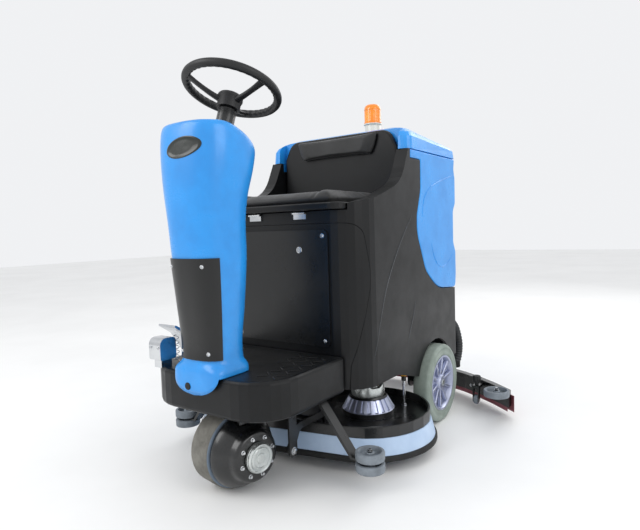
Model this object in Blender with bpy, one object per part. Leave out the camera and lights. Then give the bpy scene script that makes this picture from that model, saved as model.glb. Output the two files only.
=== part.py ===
"""A compact ride-on floor scrubber: metres, +Z up, the driver faces -Y and sits at X = 0.

The pieces are modelled in the machine's own layout, with the ground at Z = 0 and the drive wheel
at the front. One empty called machine then shifts everything along Y, so that the origin lies on
the ground under the middle of the whole length.
"""
import math

import bmesh
import bpy
from mathutils import Matrix, Vector

# Overall layout
GAP = 0.0004
LENGTH_MIDDLE = 0.12414
BODY_HALF = 0.309
BODY_FRONT = -0.165
BODY_REAR = 0.628
CORNER = 0.100
SEAT_DECK = 0.816
WING_FRONT = 0.187
LID_SEAM = 1.034
BEACON_Y = 0.490
FLOOR_TOP = 0.362
FRAME_LOW = 0.262
FRAME_TOP = 0.299

# Front end
FOOT_HALF = 0.250
FOOT_FRONT = -0.535
FOOT_LOW = 0.250
STEER_Y = -0.414
STEER_AT_REST = math.radians(-10.2)
DRIVE_RADIUS = 0.1165
DRIVE_INNER = -0.049
DRIVE_OUTER = 0.036
COLUMN_TILT = math.radians(19.7)
WHEEL_CENTRE = (0.0, -0.354, 1.1785)
WHEEL_TURN = math.radians(26.0)
RIM_RADIUS = 0.137
RIM_THICK = 0.013

# Rear wheels
REAR_Y = 0.390
REAR_RADIUS = 0.149
REAR_OUTER = 0.346
REAR_INNER = 0.282
ARCH_CENTRE = (0.400, 0.149)
ARCH_RADIUS = 0.168

# Brush deck
DECK_SKEW = math.radians(12.0)
DISC_HALF = 0.2105
PLATE_RADIUS = 0.2134
DECK_TOP = 0.141
DECK_PIVOT = (-0.130, 0.165)
ARM_PIVOT = (-0.330, 0.105)
ARM_X = 0.154

# Bumper rollers, squeegee and hoses
BUMPER_X = 0.378
BUMPER_Y = {1: -0.245, -1: -0.264}
BUMPER_RADIUS = 0.043
SQUEEGEE_HALF = 0.553
SQUEEGEE_Y = 0.790
SQUEEGEE_BEND = 0.810
SQUEEGEE_LOW = 0.042
SQUEEGEE_TOP = 0.106
BLADE_LOW = 0.022
SWING_Y = 0.732
LIFT_PIVOT = (0.120, 0.232)
END_ROLLER = (0.520, 0.480)
SUPPORT = (0.405, 0.586)

PALETTE = {
    "black_plastic": ("#232527", 0.50, 0.0),
    "blue_plastic": ("#2A8FFB", 0.32, 0.0),
    "grip_plastic": ("#1B1C1E", 0.55, 0.0),
    "painted_steel": ("#1D1F20", 0.45, 0.0),
    "bright_steel": ("#C9CCD0", 0.25, 1.0),
    "cast_aluminium": ("#B8C0DC", 0.35, 1.0),
    "grey_tyre": ("#8E9A90", 0.75, 0.0),
    "front_tyre": ("#6D6C66", 0.80, 0.0),
    "grey_rubber": ("#7B838B", 0.70, 0.0),
    "black_rubber": ("#141516", 0.80, 0.0),
    "pale_skirt": ("#B9CFE6", 0.35, 0.0),
    "vinyl": ("#1A1A1B", 0.55, 0.0),
    "amber": ("#F79A1F", 0.15, 0.0),
    "clear_base": ("#E9E6DC", 0.30, 0.0),
    "red_blade": ("#8F4F5A", 0.55, 0.0),
    "brush_fibre": ("#3E5C8C", 0.85, 0.0),
    "red_button": ("#C01A1A", 0.35, 0.0),
    "battery_case": ("#2E3134", 0.50, 0.0),
}


def start_clean():
    for obj in list(bpy.data.objects):
        bpy.data.objects.remove(obj, do_unlink=True)


def linear(hex_colour):
    channels = [int(hex_colour[i:i + 2], 16) / 255 for i in (1, 3, 5)]
    return [c / 12.92 if c <= 0.04045 else ((c + 0.055) / 1.055) ** 2.4 for c in channels]


def material(name):
    found = bpy.data.materials.get(name)
    if found:
        return found
    colour, roughness, metallic = PALETTE[name]
    made = bpy.data.materials.new(name)
    made.use_nodes = True
    shader = made.node_tree.nodes["Principled BSDF"]
    shader.inputs["Base Color"].default_value = (*linear(colour), 1.0)
    shader.inputs["Roughness"].default_value = roughness
    shader.inputs["Metallic"].default_value = metallic
    return made


def pivot(name, location, tilt=0.0, turn=0.0, parent=None):
    """An empty on a joint's axis: pieces parented to it turn about it."""
    empty = bpy.data.objects.new(name, None)
    bpy.context.scene.collection.objects.link(empty)
    empty.location = location
    empty.rotation_euler = (tilt, 0.0, turn)
    empty.empty_display_size = 0.05
    empty.parent = parent or MACHINE
    bpy.context.view_layer.update()
    return empty


def keep(name, bm, finish, parent=None, local=False):
    """Turns a bmesh into a named object. Unless local, its points are in the machine's layout."""
    bmesh.ops.remove_doubles(bm, verts=bm.verts, dist=1e-6)
    bmesh.ops.recalc_face_normals(bm, faces=bm.faces)
    mesh = bpy.data.meshes.new(name)
    bm.to_mesh(mesh)
    bm.free()
    obj = bpy.data.objects.new(name, mesh)
    bpy.context.scene.collection.objects.link(obj)
    if finish:
        mesh.materials.append(material(finish))
        mesh.shade_smooth()
        mesh.set_sharp_from_angle(angle=math.radians(35))
    obj.parent = parent or MACHINE
    if parent and not local:
        obj.matrix_parent_inverse = parent.matrix_world.inverted() @ MACHINE.matrix_world
    return obj


def helper(obj):
    """Marks an object as a cutter: it shapes others and is no part of the machine."""
    obj.hide_render = True
    obj.display_type = "WIRE"
    return obj


def combine(target, other, operation):
    change = target.modifiers.new(operation.lower(), "BOOLEAN")
    change.operation = operation
    change.object = helper(other)
    return target


def cut(target, *others):
    for other in others:
        combine(target, other, "DIFFERENCE")
    return target


def join(target, *others):
    for other in others:
        combine(target, other, "UNION")
    return target


def soften(obj, width, segments=2, angle=40):
    change = obj.modifiers.new("soft_edges", "BEVEL")
    change.width = width
    change.segments = segments
    change.limit_method = "ANGLE"
    change.angle_limit = math.radians(angle)
    return obj


def rounded(corners, steps=4):
    """A closed outline from (u, v, radius) corners, with an arc at each corner that has a radius."""
    outline = []
    count = len(corners)
    for index, (u, v, radius) in enumerate(corners):
        here = Vector((u, v))
        if radius <= 0:
            outline.append(here)
            continue
        to_last = (Vector(corners[index - 1][:2]) - here).normalized()
        to_next = (Vector(corners[(index + 1) % count][:2]) - here).normalized()
        half = math.acos(max(-1.0, min(1.0, to_last.dot(to_next)))) / 2
        centre = here + (to_last + to_next).normalized() * radius / math.sin(half)
        first = here + to_last * radius / math.tan(half) - centre
        last = here + to_next * radius / math.tan(half) - centre
        sweep = first.angle_signed(last)
        for step in range(steps + 1):
            outline.append(centre + Matrix.Rotation(-sweep * step / steps, 2) @ first)
    return [(p.x, p.y) for p in outline]


def placed(axis, u, v, w):
    """A point from its two outline coordinates and its place w along the axis."""
    return {"X": (w, u, v), "Y": (u, w, v), "Z": (u, v, w)}[axis]


def prism(name, outline, axis, low, high, finish=None, parent=None, local=False):
    bm = bmesh.new()
    base = [bm.verts.new(placed(axis, u, v, low)) for u, v in outline]
    face = bm.faces.new(base)
    moved = bmesh.ops.extrude_face_region(bm, geom=[face])["geom"]
    step = Vector(placed(axis, 0, 0, high - low))
    bmesh.ops.translate(bm, vec=step, verts=[g for g in moved if isinstance(g, bmesh.types.BMVert)])
    return keep(name, bm, finish, parent, local)


def box(name, low, high, finish=None, parent=None, local=False):
    outline = [(low[0], low[1]), (high[0], low[1]), (high[0], high[1]), (low[0], high[1])]
    return prism(name, outline, "Z", low[2], high[2], finish, parent, local)


def skin(name, rings, finish=None, parent=None, local=False, loop=False):
    """A surface through rings of the same number of points, closed by end caps or into a loop."""
    bm = bmesh.new()
    rows = [[bm.verts.new(point) for point in ring] for ring in rings]
    pairs = list(zip(rows, rows[1:] + rows[:1])) if loop else list(zip(rows, rows[1:]))
    for row, following in pairs:
        for i in range(len(row)):
            j = (i + 1) % len(row)
            bm.faces.new((row[i], row[j], following[j], following[i]))
    if not loop:
        bm.faces.new(rows[0])
        bm.faces.new(rows[-1])
    return keep(name, bm, finish, parent, local)


def turned(name, profile, axis, centre, finish=None, parent=None, local=False, steps=24, loop=False):
    """A body turned about an axis line through centre, from (radius, place along the axis) points."""
    rings = []
    for radius, along in profile:
        ring = []
        for i in range(steps):
            angle = 2 * math.pi * i / steps
            point = placed(axis, radius * math.cos(angle), radius * math.sin(angle), along)
            ring.append(Vector(point) + Vector(centre))
        rings.append(ring)
    return skin(name, rings, finish, parent, local, loop)


def disc(name, radius, axis, centre, low, high, finish=None, parent=None, local=False, steps=24):
    return turned(name, [(radius, low), (radius, high)], axis, centre, finish, parent, local, steps)


def smooth_route(points, count):
    """Points at even steps along a smooth curve through the given ones (Catmull-Rom)."""
    ends = [points[0]] + list(points) + [points[-1]]
    spans = len(points) - 1
    route = []
    for i in range(count):
        place = spans * i / (count - 1)
        span = min(int(place), spans - 1)
        t = place - span
        a, b, c, d = [Vector(p) for p in ends[span:span + 4]]
        route.append(0.5 * (2 * b + (c - a) * t + (2 * a - 5 * b + 4 * c - d) * t ** 2
                            + (3 * b - a - 3 * c + d) * t ** 3))
    return route


def tube(name, route, radius, finish, parent=None, resolution=2):
    curve = bpy.data.curves.new(name, "CURVE")
    curve.dimensions = "3D"
    curve.bevel_depth = radius
    curve.bevel_resolution = resolution
    curve.use_fill_caps = True
    spline = curve.splines.new("POLY")
    spline.points.add(len(route) - 1)
    for point, place in zip(spline.points, route):
        point.co = (*place, 1.0)
    curve.materials.append(material(finish))
    obj = bpy.data.objects.new(name, curve)
    bpy.context.scene.collection.objects.link(obj)
    obj.parent = parent or MACHINE
    if parent:
        obj.matrix_parent_inverse = parent.matrix_world.inverted() @ MACHINE.matrix_world
    return obj


def body_plan(inset):
    """The body seen from above: large round front corners, small rear ones."""
    side = BODY_HALF - inset
    front = BODY_FRONT + inset
    rear = BODY_REAR - inset
    big = CORNER - inset
    return rounded([(-side, front, big), (side, front, big), (side, rear, 0.02), (-side, rear, 0.02)], 6)


# The line in side view where the blue tank sits in the black shell, from its top end to the rear.
TANK_LINE = [(0.284, 1.000, 0.006), (0.282, 0.890, 0.10), (0.248, 0.800, 0.05), (0.246, 0.735, 0.12),
             (0.318, 0.590, 0.10), (0.430, 0.512, 0.20), (0.640, 0.495, 0.0)]


def shell_profile():
    """The black shell in side view: arm, side wing, tank line, rear, wheel arch and lower edge."""
    return rounded([(-0.160, 0.255, 0.0), (-0.175, 0.300, 0.0), (-0.175, 0.832, 0.0),
                    (-0.040, 0.858, 0.20), (0.128, 0.912, 0.14), (WING_FRONT, LID_SEAM - 0.001, 0.0),
                    (WING_FRONT + 0.014, LID_SEAM - 0.001, 0.0), (WING_FRONT + 0.014, 1.000, 0.0), *TANK_LINE,
                    (0.640, 0.215, 0.0), (0.556, 0.215, 0.0), (0.239, 0.206, 0.0), (0.076, 0.253, 0.05)], 5)


def front_region(grow):
    """The seam in side view between the front shell and the rear shell."""
    g = grow
    return rounded([(-0.300, 0.776 + g, 0.0), (-0.118 + g, 0.776 + g, 0.055), (-0.086 + g, 0.600, 0.25),
                    (-0.150 + g, 0.330, 0.0), (-0.155 + g, 0.200, 0.0), (-0.300, 0.200, 0.0)], 6)


def cavity(name):
    """The hollow inside both shells: it follows their plan and stays under the tank line."""
    inside = prism(name, body_plan(0.011), "Z", 0.150, SEAT_DECK - 0.012)
    keep_out = prism(name + "_tank", [(0.232, 0.900), (0.236, 0.735), (0.306, 0.580), (0.424, 0.500),
                                      (0.700, 0.483), (0.700, 0.900)], "X", -0.4, 0.4)
    return cut(inside, keep_out)


def wheel_arches(name):
    return disc(name, ARCH_RADIUS, "X", (0.0, *ARCH_CENTRE), -0.4, 0.4, steps=32)


def make_shells():
    for name, operation, grow in (("front_shell", "INTERSECT", 0.0), ("rear_shell", "DIFFERENCE", 0.0012)):
        shell = prism(name, body_plan(0.0), "Z", 0.150, 1.050, "black_plastic")
        combine(shell, prism(name + "_side", shell_profile(), "X", -0.4, 0.4), "INTERSECT")
        cut(shell, cavity(name + "_hollow"))
        combine(shell, prism(name + "_seam", front_region(grow), "X", -0.4, 0.4), operation)
        notch = box(name + "_frame_notch", (-0.118, -0.200, 0.200), (0.118, -0.100, FRAME_TOP + 0.0015))
        cut(shell, notch)
    cut(shell, box("seat_well", (-0.263, -0.300, SEAT_DECK), (0.263, 0.300, 1.100)))
    cut(shell, box("battery_hatch", (-0.190, -0.100, 0.700), (0.190, 0.150, 0.900)))
    cut(shell, wheel_arches("arch_cutter"))
    plate = rounded([(-0.200, 0.386, 0.02), (0.200, 0.386, 0.02), (0.200, 0.757, 0.02),
                     (-0.200, 0.757, 0.02)])
    prism("battery_door", plate, "Y", BODY_FRONT - 0.0045, BODY_FRONT - GAP, "black_plastic")
    box("battery_pack", (-0.185, -0.125, FRAME_TOP + GAP), (0.185, 0.215, 0.640), "battery_case")
    disc("vacuum_motor", 0.055, "Z", (0.100, 0.470, 0), FRAME_TOP + GAP, 0.440, "painted_steel")


def foot_plan(inset):
    side = FOOT_HALF - inset
    front = FOOT_FRONT + inset
    return rounded([(-side, front, 0.130 - inset), (side, front, 0.130 - inset),
                    (side, -0.1665, 0.0), (-side, -0.1665, 0.0)], 7)


def make_platform():
    platform = prism("front_platform", foot_plan(0.0), "Z", FOOT_LOW, FLOOR_TOP, "black_plastic")
    soften(platform, 0.012, 3, 60)
    inside = [(u, -0.100 if v > -0.17 else v) for u, v in foot_plan(0.014)]
    cut(platform, prism("platform_hollow", inside, "Z", 0.200, FLOOR_TOP - 0.010))
    well = rounded([(-0.060, -0.525, 0.02), (0.060, -0.525, 0.02), (0.060, -0.400, 0.02),
                    (-0.060, -0.400, 0.02)])
    cut(platform, prism("shaft_well", well, "Z", 0.300, 0.500))


# Column cover sections: height, half width, front Y and rear Y.
COLUMN = [(0.290, 0.095, -0.5540, -0.412), (0.374, 0.095, -0.5540, -0.412), (0.402, 0.085, -0.5470, -0.406),
          (0.450, 0.083, -0.5440, -0.405), (0.560, 0.090, -0.5530, -0.391), (0.690, 0.098, -0.5650, -0.380),
          (0.790, 0.101, -0.5725, -0.380), (0.860, 0.109, -0.5765, -0.373), (0.930, 0.118, -0.5780, -0.353),
          (0.985, 0.122, -0.5770, -0.341), (1.030, 0.121, -0.5740, -0.336), (1.070, 0.117, -0.5680, -0.337)]
COLUMN_RINGS = [height for height, *_ in COLUMN[1:8]]
COLUMN_CROWN = ((0.40, 0.0), (0.70, 0.0), (0.88, 0.001), (0.96, 0.006), (1.0, 0.013))
COLUMN_AROUND = 28
PANEL_DROP = 0.064


def column_section(height):
    """Half width, front Y and rear Y of the column at a height, read along the sections above."""
    for (z0, *low), (z1, *high) in zip(COLUMN, COLUMN[1:]):
        if height <= z1:
            t = max(0.0, (height - z0) / (z1 - z0))
            return [a + (b - a) * t for a, b in zip(low, high)]
    return COLUMN[-1][1:]


def column_point(angle, height, inset=0.0):
    """A point on the column's skin: a rounded oblong, squarer near its foot."""
    power = 2.7 + 2.8 * max(0.0, min(1.0, (0.402 - height) / 0.028))
    half, front, rear = column_section(height)
    x = math.cos(angle)
    y = math.sin(angle)
    return Vector(((half - inset) * math.copysign(abs(x) ** (2 / power), x),
                   (front + rear) / 2
                   + ((rear - front) / 2 - inset) * math.copysign(abs(y) ** (2 / power), y), height))


def column_angle(step):
    return 2 * math.pi * step / COLUMN_AROUND


def column_top(y):
    """The upper edge: nearly level in front, then falling towards the driver."""
    return 1.055 - 0.085 * max(0.0, (y + 0.520) / 0.180) ** 1.7


def column_bottom(angle):
    """The lower edge: level on the platform, and a rounded tongue over its front."""
    across = column_point(angle, FLOOR_TOP).x / 0.0880
    tongue = math.sqrt(max(0.0, 1.0 - across * across)) if angle > math.pi else 0.0
    return FLOOR_TOP + 0.0012 - 0.052 * tongue


def make_column():
    columns = []
    for i in range(COLUMN_AROUND):
        angle = column_angle(i)
        top = column_top(column_point(angle, 1.02).y)
        last = COLUMN_RINGS[-1]
        levels = [(column_bottom(angle), 0.0)] + [(height, 0.0) for height in COLUMN_RINGS]
        levels += [(last + (top - last) * share, inset) for share, inset in COLUMN_CROWN]
        columns.append([column_point(angle, height, inset) for height, inset in levels])
    bm = bmesh.new()
    rows = [[bm.verts.new(point) for point in ring] for ring in zip(*columns)]
    for row, following in zip(rows, rows[1:]):
        for i in range(COLUMN_AROUND):
            j = (i + 1) % COLUMN_AROUND
            bm.faces.new((row[i], row[j], following[j], following[i]))
    cover = keep("column_cover", bm, "blue_plastic")
    wall = cover.modifiers.new("wall", "SOLIDIFY")
    wall.thickness = 0.004
    wall.offset = -1.0
    wall.use_even_offset = True
    return cover


def make_access_plate():
    """A thin plate that wraps round the column's front, over the opening to its joints."""
    front = COLUMN_AROUND * 3 // 4
    angles = [column_angle(front + k) for k in range(-5, 6)]
    rings = []
    for height in (0.409, 0.450, 0.560, 0.690):
        ring = [column_point(angle, height, -0.0045) for angle in angles]
        ring += [column_point(angle, height, -0.0008) for angle in reversed(angles)]
        rings.append(ring)
    skin("access_plate", rings, "black_plastic")


def make_dashboard():
    """The control panel, set down in the column's top, with its key switch and stop button."""
    middle = (0.0, -0.447, 1.055 - PANEL_DROP)
    seat = pivot("dashboard_seat", middle, tilt=-COLUMN_TILT)
    outline = []
    for i in range(COLUMN_AROUND):
        near = column_point(column_angle(i + 0.5), middle[2])
        height = middle[2] - math.tan(COLUMN_TILT) * (near.y - middle[1])
        point = column_point(column_angle(i + 0.5), height, 0.0135)
        outline.append((point.x, (point.y - middle[1]) / math.cos(COLUMN_TILT)))
    panel = prism("dashboard", outline, "Z", -0.004, 0.0, "grip_plastic", seat, local=True)
    cut(panel, disc("shaft_hole", 0.015, "Z", (0, 0.0243, 0), -0.02, 0.02, parent=seat, local=True))
    for name, x in (("key_hole", -0.062), ("button_hole", 0.066)):
        cut(panel, disc(name, 0.0086, "Z", (x, 0.045, 0), -0.02, 0.02, parent=seat, local=True, steps=16))
    key_seat = pivot("key_axis", (-0.062, 0.045, 0), parent=seat)
    key = disc("key_switch", 0.008, "Z", (0, 0, 0), -0.020, 0.006, "bright_steel", key_seat, True, 16)
    join(key, box("key_blade", (-0.0015, -0.010, 0.004), (0.0015, 0.010, 0.022), None, key_seat, True))
    stop_seat = pivot("stop_axis", (0.066, 0.045, 0), parent=seat)
    profile = [(0.0, -0.022), (0.008, -0.022), (0.008, 0.010), (0.017, 0.012), (0.017, 0.020), (0.0, 0.024)]
    turned("stop_button", profile, "Z", (0, 0, 0), "red_button", stop_seat, True, 20)


def make_steering_wheel():
    """Local Z runs up the tilted steering shaft and the rim lies at Z = 0."""
    axis = pivot("steering_axis", WHEEL_CENTRE, tilt=-COLUMN_TILT)
    rim_profile = []
    for i in range(8):
        angle = 2 * math.pi * i / 8
        rim_profile.append((RIM_RADIUS + RIM_THICK * math.cos(angle), RIM_THICK * math.sin(angle)))
    wheel = turned("steering_wheel", rim_profile, "Z", (0, 0, 0), "grip_plastic", axis, True, 36, loop=True)
    hub = [(0.0, -0.064), (0.034, -0.064), (0.035, -0.036), (0.038, -0.028), (0.037, -0.020), (0.0, -0.018)]
    join(wheel, turned("wheel_hub", hub, "Z", (0, 0, 0), None, axis, True, 20))
    for i, angle in enumerate((90, 210, 330)):
        way = math.radians(angle) + WHEEL_TURN
        out = Vector((math.cos(way), math.sin(way), 0))
        side = Vector((-out.y, out.x, 0))
        rings = []
        for reach, height, wide, thick in ((0.020, -0.042, 0.011, 0.010), (0.070, -0.027, 0.009, 0.008),
                                           (0.110, -0.008, 0.009, 0.007), (0.134, -0.001, 0.011, 0.007)):
            centre = out * reach + Vector((0, 0, height))
            rings.append([centre + side * wide * math.cos(a) + Vector((0, 0, thick * math.sin(a)))
                          for a in [2 * math.pi * k / 6 for k in range(6)]])
        join(wheel, skin("spoke_%d" % i, rings, None, axis, True))
    shaft = [(0.0, -0.445), (0.012, -0.445), (0.012, -0.203), (0.027, -0.198), (0.027, -0.0645),
             (0.0, -0.0645)]
    turned("steering_shaft", shaft, "Z", (0, 0, 0), "painted_steel", axis, True, 20)


def make_pinion():
    """The upright shaft under the column's joint, with the small sprocket that turns the fork."""
    centre = (0.0, -0.500, 0.0)
    axis = pivot("pinion_axis", centre)
    profile = [(0.0, 0.303), (0.008, 0.303), (0.008, 0.318), (0.019, 0.319), (0.019, 0.326), (0.008, 0.327),
               (0.008, 0.600), (0.014, 0.606), (0.014, 0.640), (0.0, 0.640)]
    turned("steering_pinion", profile, "Z", centre, "bright_steel", axis, steps=20)


def make_drive_unit():
    steer = pivot("steer_axis", (0.0, STEER_Y, 0.0), turn=STEER_AT_REST)
    hub = (0.0, 0.0, DRIVE_RADIUS)
    fork = box("fork_yoke", (-0.070, -0.045, 0.240), (0.082, 0.045, 0.248), "painted_steel", steer, True)
    join(fork, disc("king_pin", 0.019, "Z", (0, 0, 0), 0.244, 0.316, None, steer, True))
    join(fork, disc("fork_sprocket", 0.058, "Z", (0, 0, 0), 0.315, 0.324, None, steer, True, 32))
    leg = rounded([(-0.030, 0.245, 0.0), (-0.022, 0.095, 0.02), (0.022, 0.095, 0.02), (0.030, 0.245, 0.0)])
    join(fork, prism("fork_leg", leg, "X", -0.064, -0.055, None, steer, True))
    join(fork, box("motor_hanger", (0.048, -0.028, 0.205), (0.078, 0.028, 0.242), None, steer, True))
    tyre = [(0.078, DRIVE_INNER), (0.110, DRIVE_INNER), (DRIVE_RADIUS, DRIVE_INNER + 0.008),
            (DRIVE_RADIUS, DRIVE_OUTER - 0.008), (0.110, DRIVE_OUTER), (0.078, DRIVE_OUTER)]
    turned("drive_tyre", tyre, "X", hub, "front_tyre", steer, True, 32, loop=True)
    rim = [(0.0, -0.047), (0.030, -0.047), (0.034, -0.036), (0.066, -0.036), (0.0777, -0.047),
           (0.0777, 0.034), (0.0, 0.034)]
    turned("drive_rim", rim, "X", hub, "cast_aluminium", steer, True, 32)
    motor = [(0.0, 0.0365), (0.106, 0.0365), (0.108, 0.046), (0.103, 0.060), (0.092, 0.078), (0.080, 0.090),
             (0.074, 0.112), (0.062, 0.120), (0.0, 0.120)]
    housing = turned("drive_motor", motor, "X", hub, "painted_steel", steer, True, 32)
    cut(housing, box("hanger_seat", (0.040, -0.029, 0.2045), (0.090, 0.029, 0.260), None, steer, True))
    cap = [(0.0, 0.1204), (0.0436, 0.1204), (0.0436, 0.135), (0.040, 0.139), (0.0, 0.139)]
    turned("motor_cap", cap, "X", hub, "bright_steel", steer, True, 28)


def make_rear_wheels():
    for side, word in ((1, "left"), (-1, "right")):
        centre = (0.0, REAR_Y, REAR_RADIUS)
        axis = pivot("rear_axis_" + word, (side * REAR_OUTER, REAR_Y, REAR_RADIUS))
        tyre = [(0.1055, REAR_INNER), (0.141, REAR_INNER), (REAR_RADIUS, REAR_INNER + 0.009),
                (REAR_RADIUS, REAR_OUTER - 0.010), (0.141, REAR_OUTER), (0.1055, REAR_OUTER - 0.002)]
        rim = [(0.0125, REAR_INNER + 0.010), (0.094, REAR_INNER + 0.010), (0.1052, REAR_INNER + 0.002),
               (0.1052, REAR_OUTER - 0.003), (0.096, REAR_OUTER - 0.004), (0.088, REAR_OUTER - 0.022),
               (0.036, REAR_OUTER - 0.022), (0.028, REAR_OUTER - 0.006), (0.0125, REAR_OUTER - 0.006)]
        for name, profile, finish in (("rear_tyre_", tyre, "grey_tyre"),
                                      ("rear_rim_", rim, "cast_aluminium")):
            profile = [(r, side * x) for r, x in profile]
            turned(name + word, profile, "X", centre, finish, axis, steps=32, loop=True)


def make_frame():
    """Rails under the whole machine, cross members, hanging brackets, stub axles and bumper arms."""
    frame = box("chassis_frame", (-0.115, -0.470, FRAME_LOW), (0.115, -0.360, 0.290), "painted_steel")
    for side in (1, -1):
        rail = sorted((side * 0.085, side * 0.115))
        join(frame, box("rail_%d" % side, (rail[0], -0.370, FRAME_LOW), (rail[1], 0.600, FRAME_TOP)))
    crosses = ((-0.350, -0.310, 0.168), (0.095, 0.145, 0.185), (0.355, 0.425, 0.211), (0.570, 0.600, 0.115))
    for i, (near, far, half) in enumerate(crosses):
        join(frame, box("cross_%d" % i, (-half, near, FRAME_LOW + 0.002), (half, far, FRAME_TOP - 0.002)))
    for side in (1, -1):
        hanger = sorted((side * 0.1605, side * 0.1665))
        shape = rounded([(-0.348, 0.280, 0.0), (-0.348, 0.088, 0.012), (-0.312, 0.088, 0.012),
                         (-0.312, 0.280, 0.0)])
        join(frame, prism("hanger_%d" % side, shape, "X", *hanger))
        plate = sorted((side * 0.200, side * 0.209))
        shape = rounded([(0.362, 0.280, 0.0), (0.368, 0.118, 0.02), (0.412, 0.118, 0.02),
                         (0.418, 0.280, 0.0)])
        join(frame, prism("axle_plate_%d" % side, shape, "X", *plate))
        stub = sorted((side * 0.203, side * 0.341))
        join(frame, disc("axle_%d" % side, 0.0121, "X", (0, REAR_Y, REAR_RADIUS), *stub))
        arm = [(0.080, 0.290), (0.180, 0.290), (0.328, 0.0945), (0.392, 0.0945), (0.392, 0.0885),
               (0.322, 0.0885), (0.172, 0.281), (0.080, 0.281)]
        arm = [(side * u, v) for u, v in arm]
        near, far = BUMPER_Y[side] - 0.017, BUMPER_Y[side] + 0.017
        join(frame, prism("bumper_arm_%d" % side, arm, "Y", near, far))
        pin_centre = (side * BUMPER_X, BUMPER_Y[side], 0)
        join(frame, disc("bumper_pin_%d" % side, 0.006, "Z", pin_centre, 0.060, 0.124, steps=12))
        lug = sorted((side * 0.0245, side * 0.0335))
        shape = rounded([(0.098, 0.280, 0.0), (0.102, 0.216, 0.01), (0.138, 0.216, 0.01),
                         (0.142, 0.280, 0.0)])
        join(frame, prism("lift_lug_%d" % side, shape, "X", *lug))
    cut(frame, disc("king_bore", 0.0193, "Z", (0, STEER_Y, 0), 0.2, 0.35, steps=32))
    for name, (y, z), radius in (("arm_bore", ARM_PIVOT, 0.0064), ("lift_bore", LIFT_PIVOT, 0.0084)):
        cut(frame, disc(name, radius, "X", (0, y, z), -0.19, 0.19, steps=16))


def make_rollers():
    for side, word in ((1, "left"), (-1, "right")):
        centre = (side * BUMPER_X, BUMPER_Y[side], 0.0)
        for level, low in (("upper", 0.0955), ("lower", 0.0620)):
            axis = pivot("bumper_axis_%s_%s" % (level, word), centre)
            roller_body("bumper_roller_%s_%s" % (level, word), centre, low, BUMPER_RADIUS, axis)


def roller_body(name, centre, low, radius, axis):
    """A wall roller: a hub and a wide rim on a flat web, open above."""
    high = low + 0.0255
    web = low + 0.010
    profile = [(0.0064, low), (radius - 0.003, low), (radius, low + 0.003), (radius, high - 0.003),
               (radius - 0.003, high), (radius - 0.009, high), (radius - 0.010, web), (0.014, web),
               (0.013, high - 0.004), (0.0064, high - 0.004)]
    turned(name, profile, "Z", centre, "grey_rubber", axis, steps=20, loop=True)


def stadium(radius, height):
    """The deck's outline: two half rounds about the discs' centres, turned by the skew."""
    points = []
    turn = Matrix.Rotation(DECK_SKEW, 2)
    for side, start in ((1, -90), (-1, 90)):
        for i in range(13):
            angle = math.radians(start + 180 * i / 12)
            flat = Vector((side * DISC_HALF + radius * math.cos(angle), radius * math.sin(angle)))
            points.append((turn @ flat).to_3d() + Vector((0, 0, height)))
    return points


def disc_centre(side):
    flat = Matrix.Rotation(DECK_SKEW, 2) @ Vector((side * DISC_HALF, 0))
    return (flat.x, flat.y, 0.0)


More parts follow.
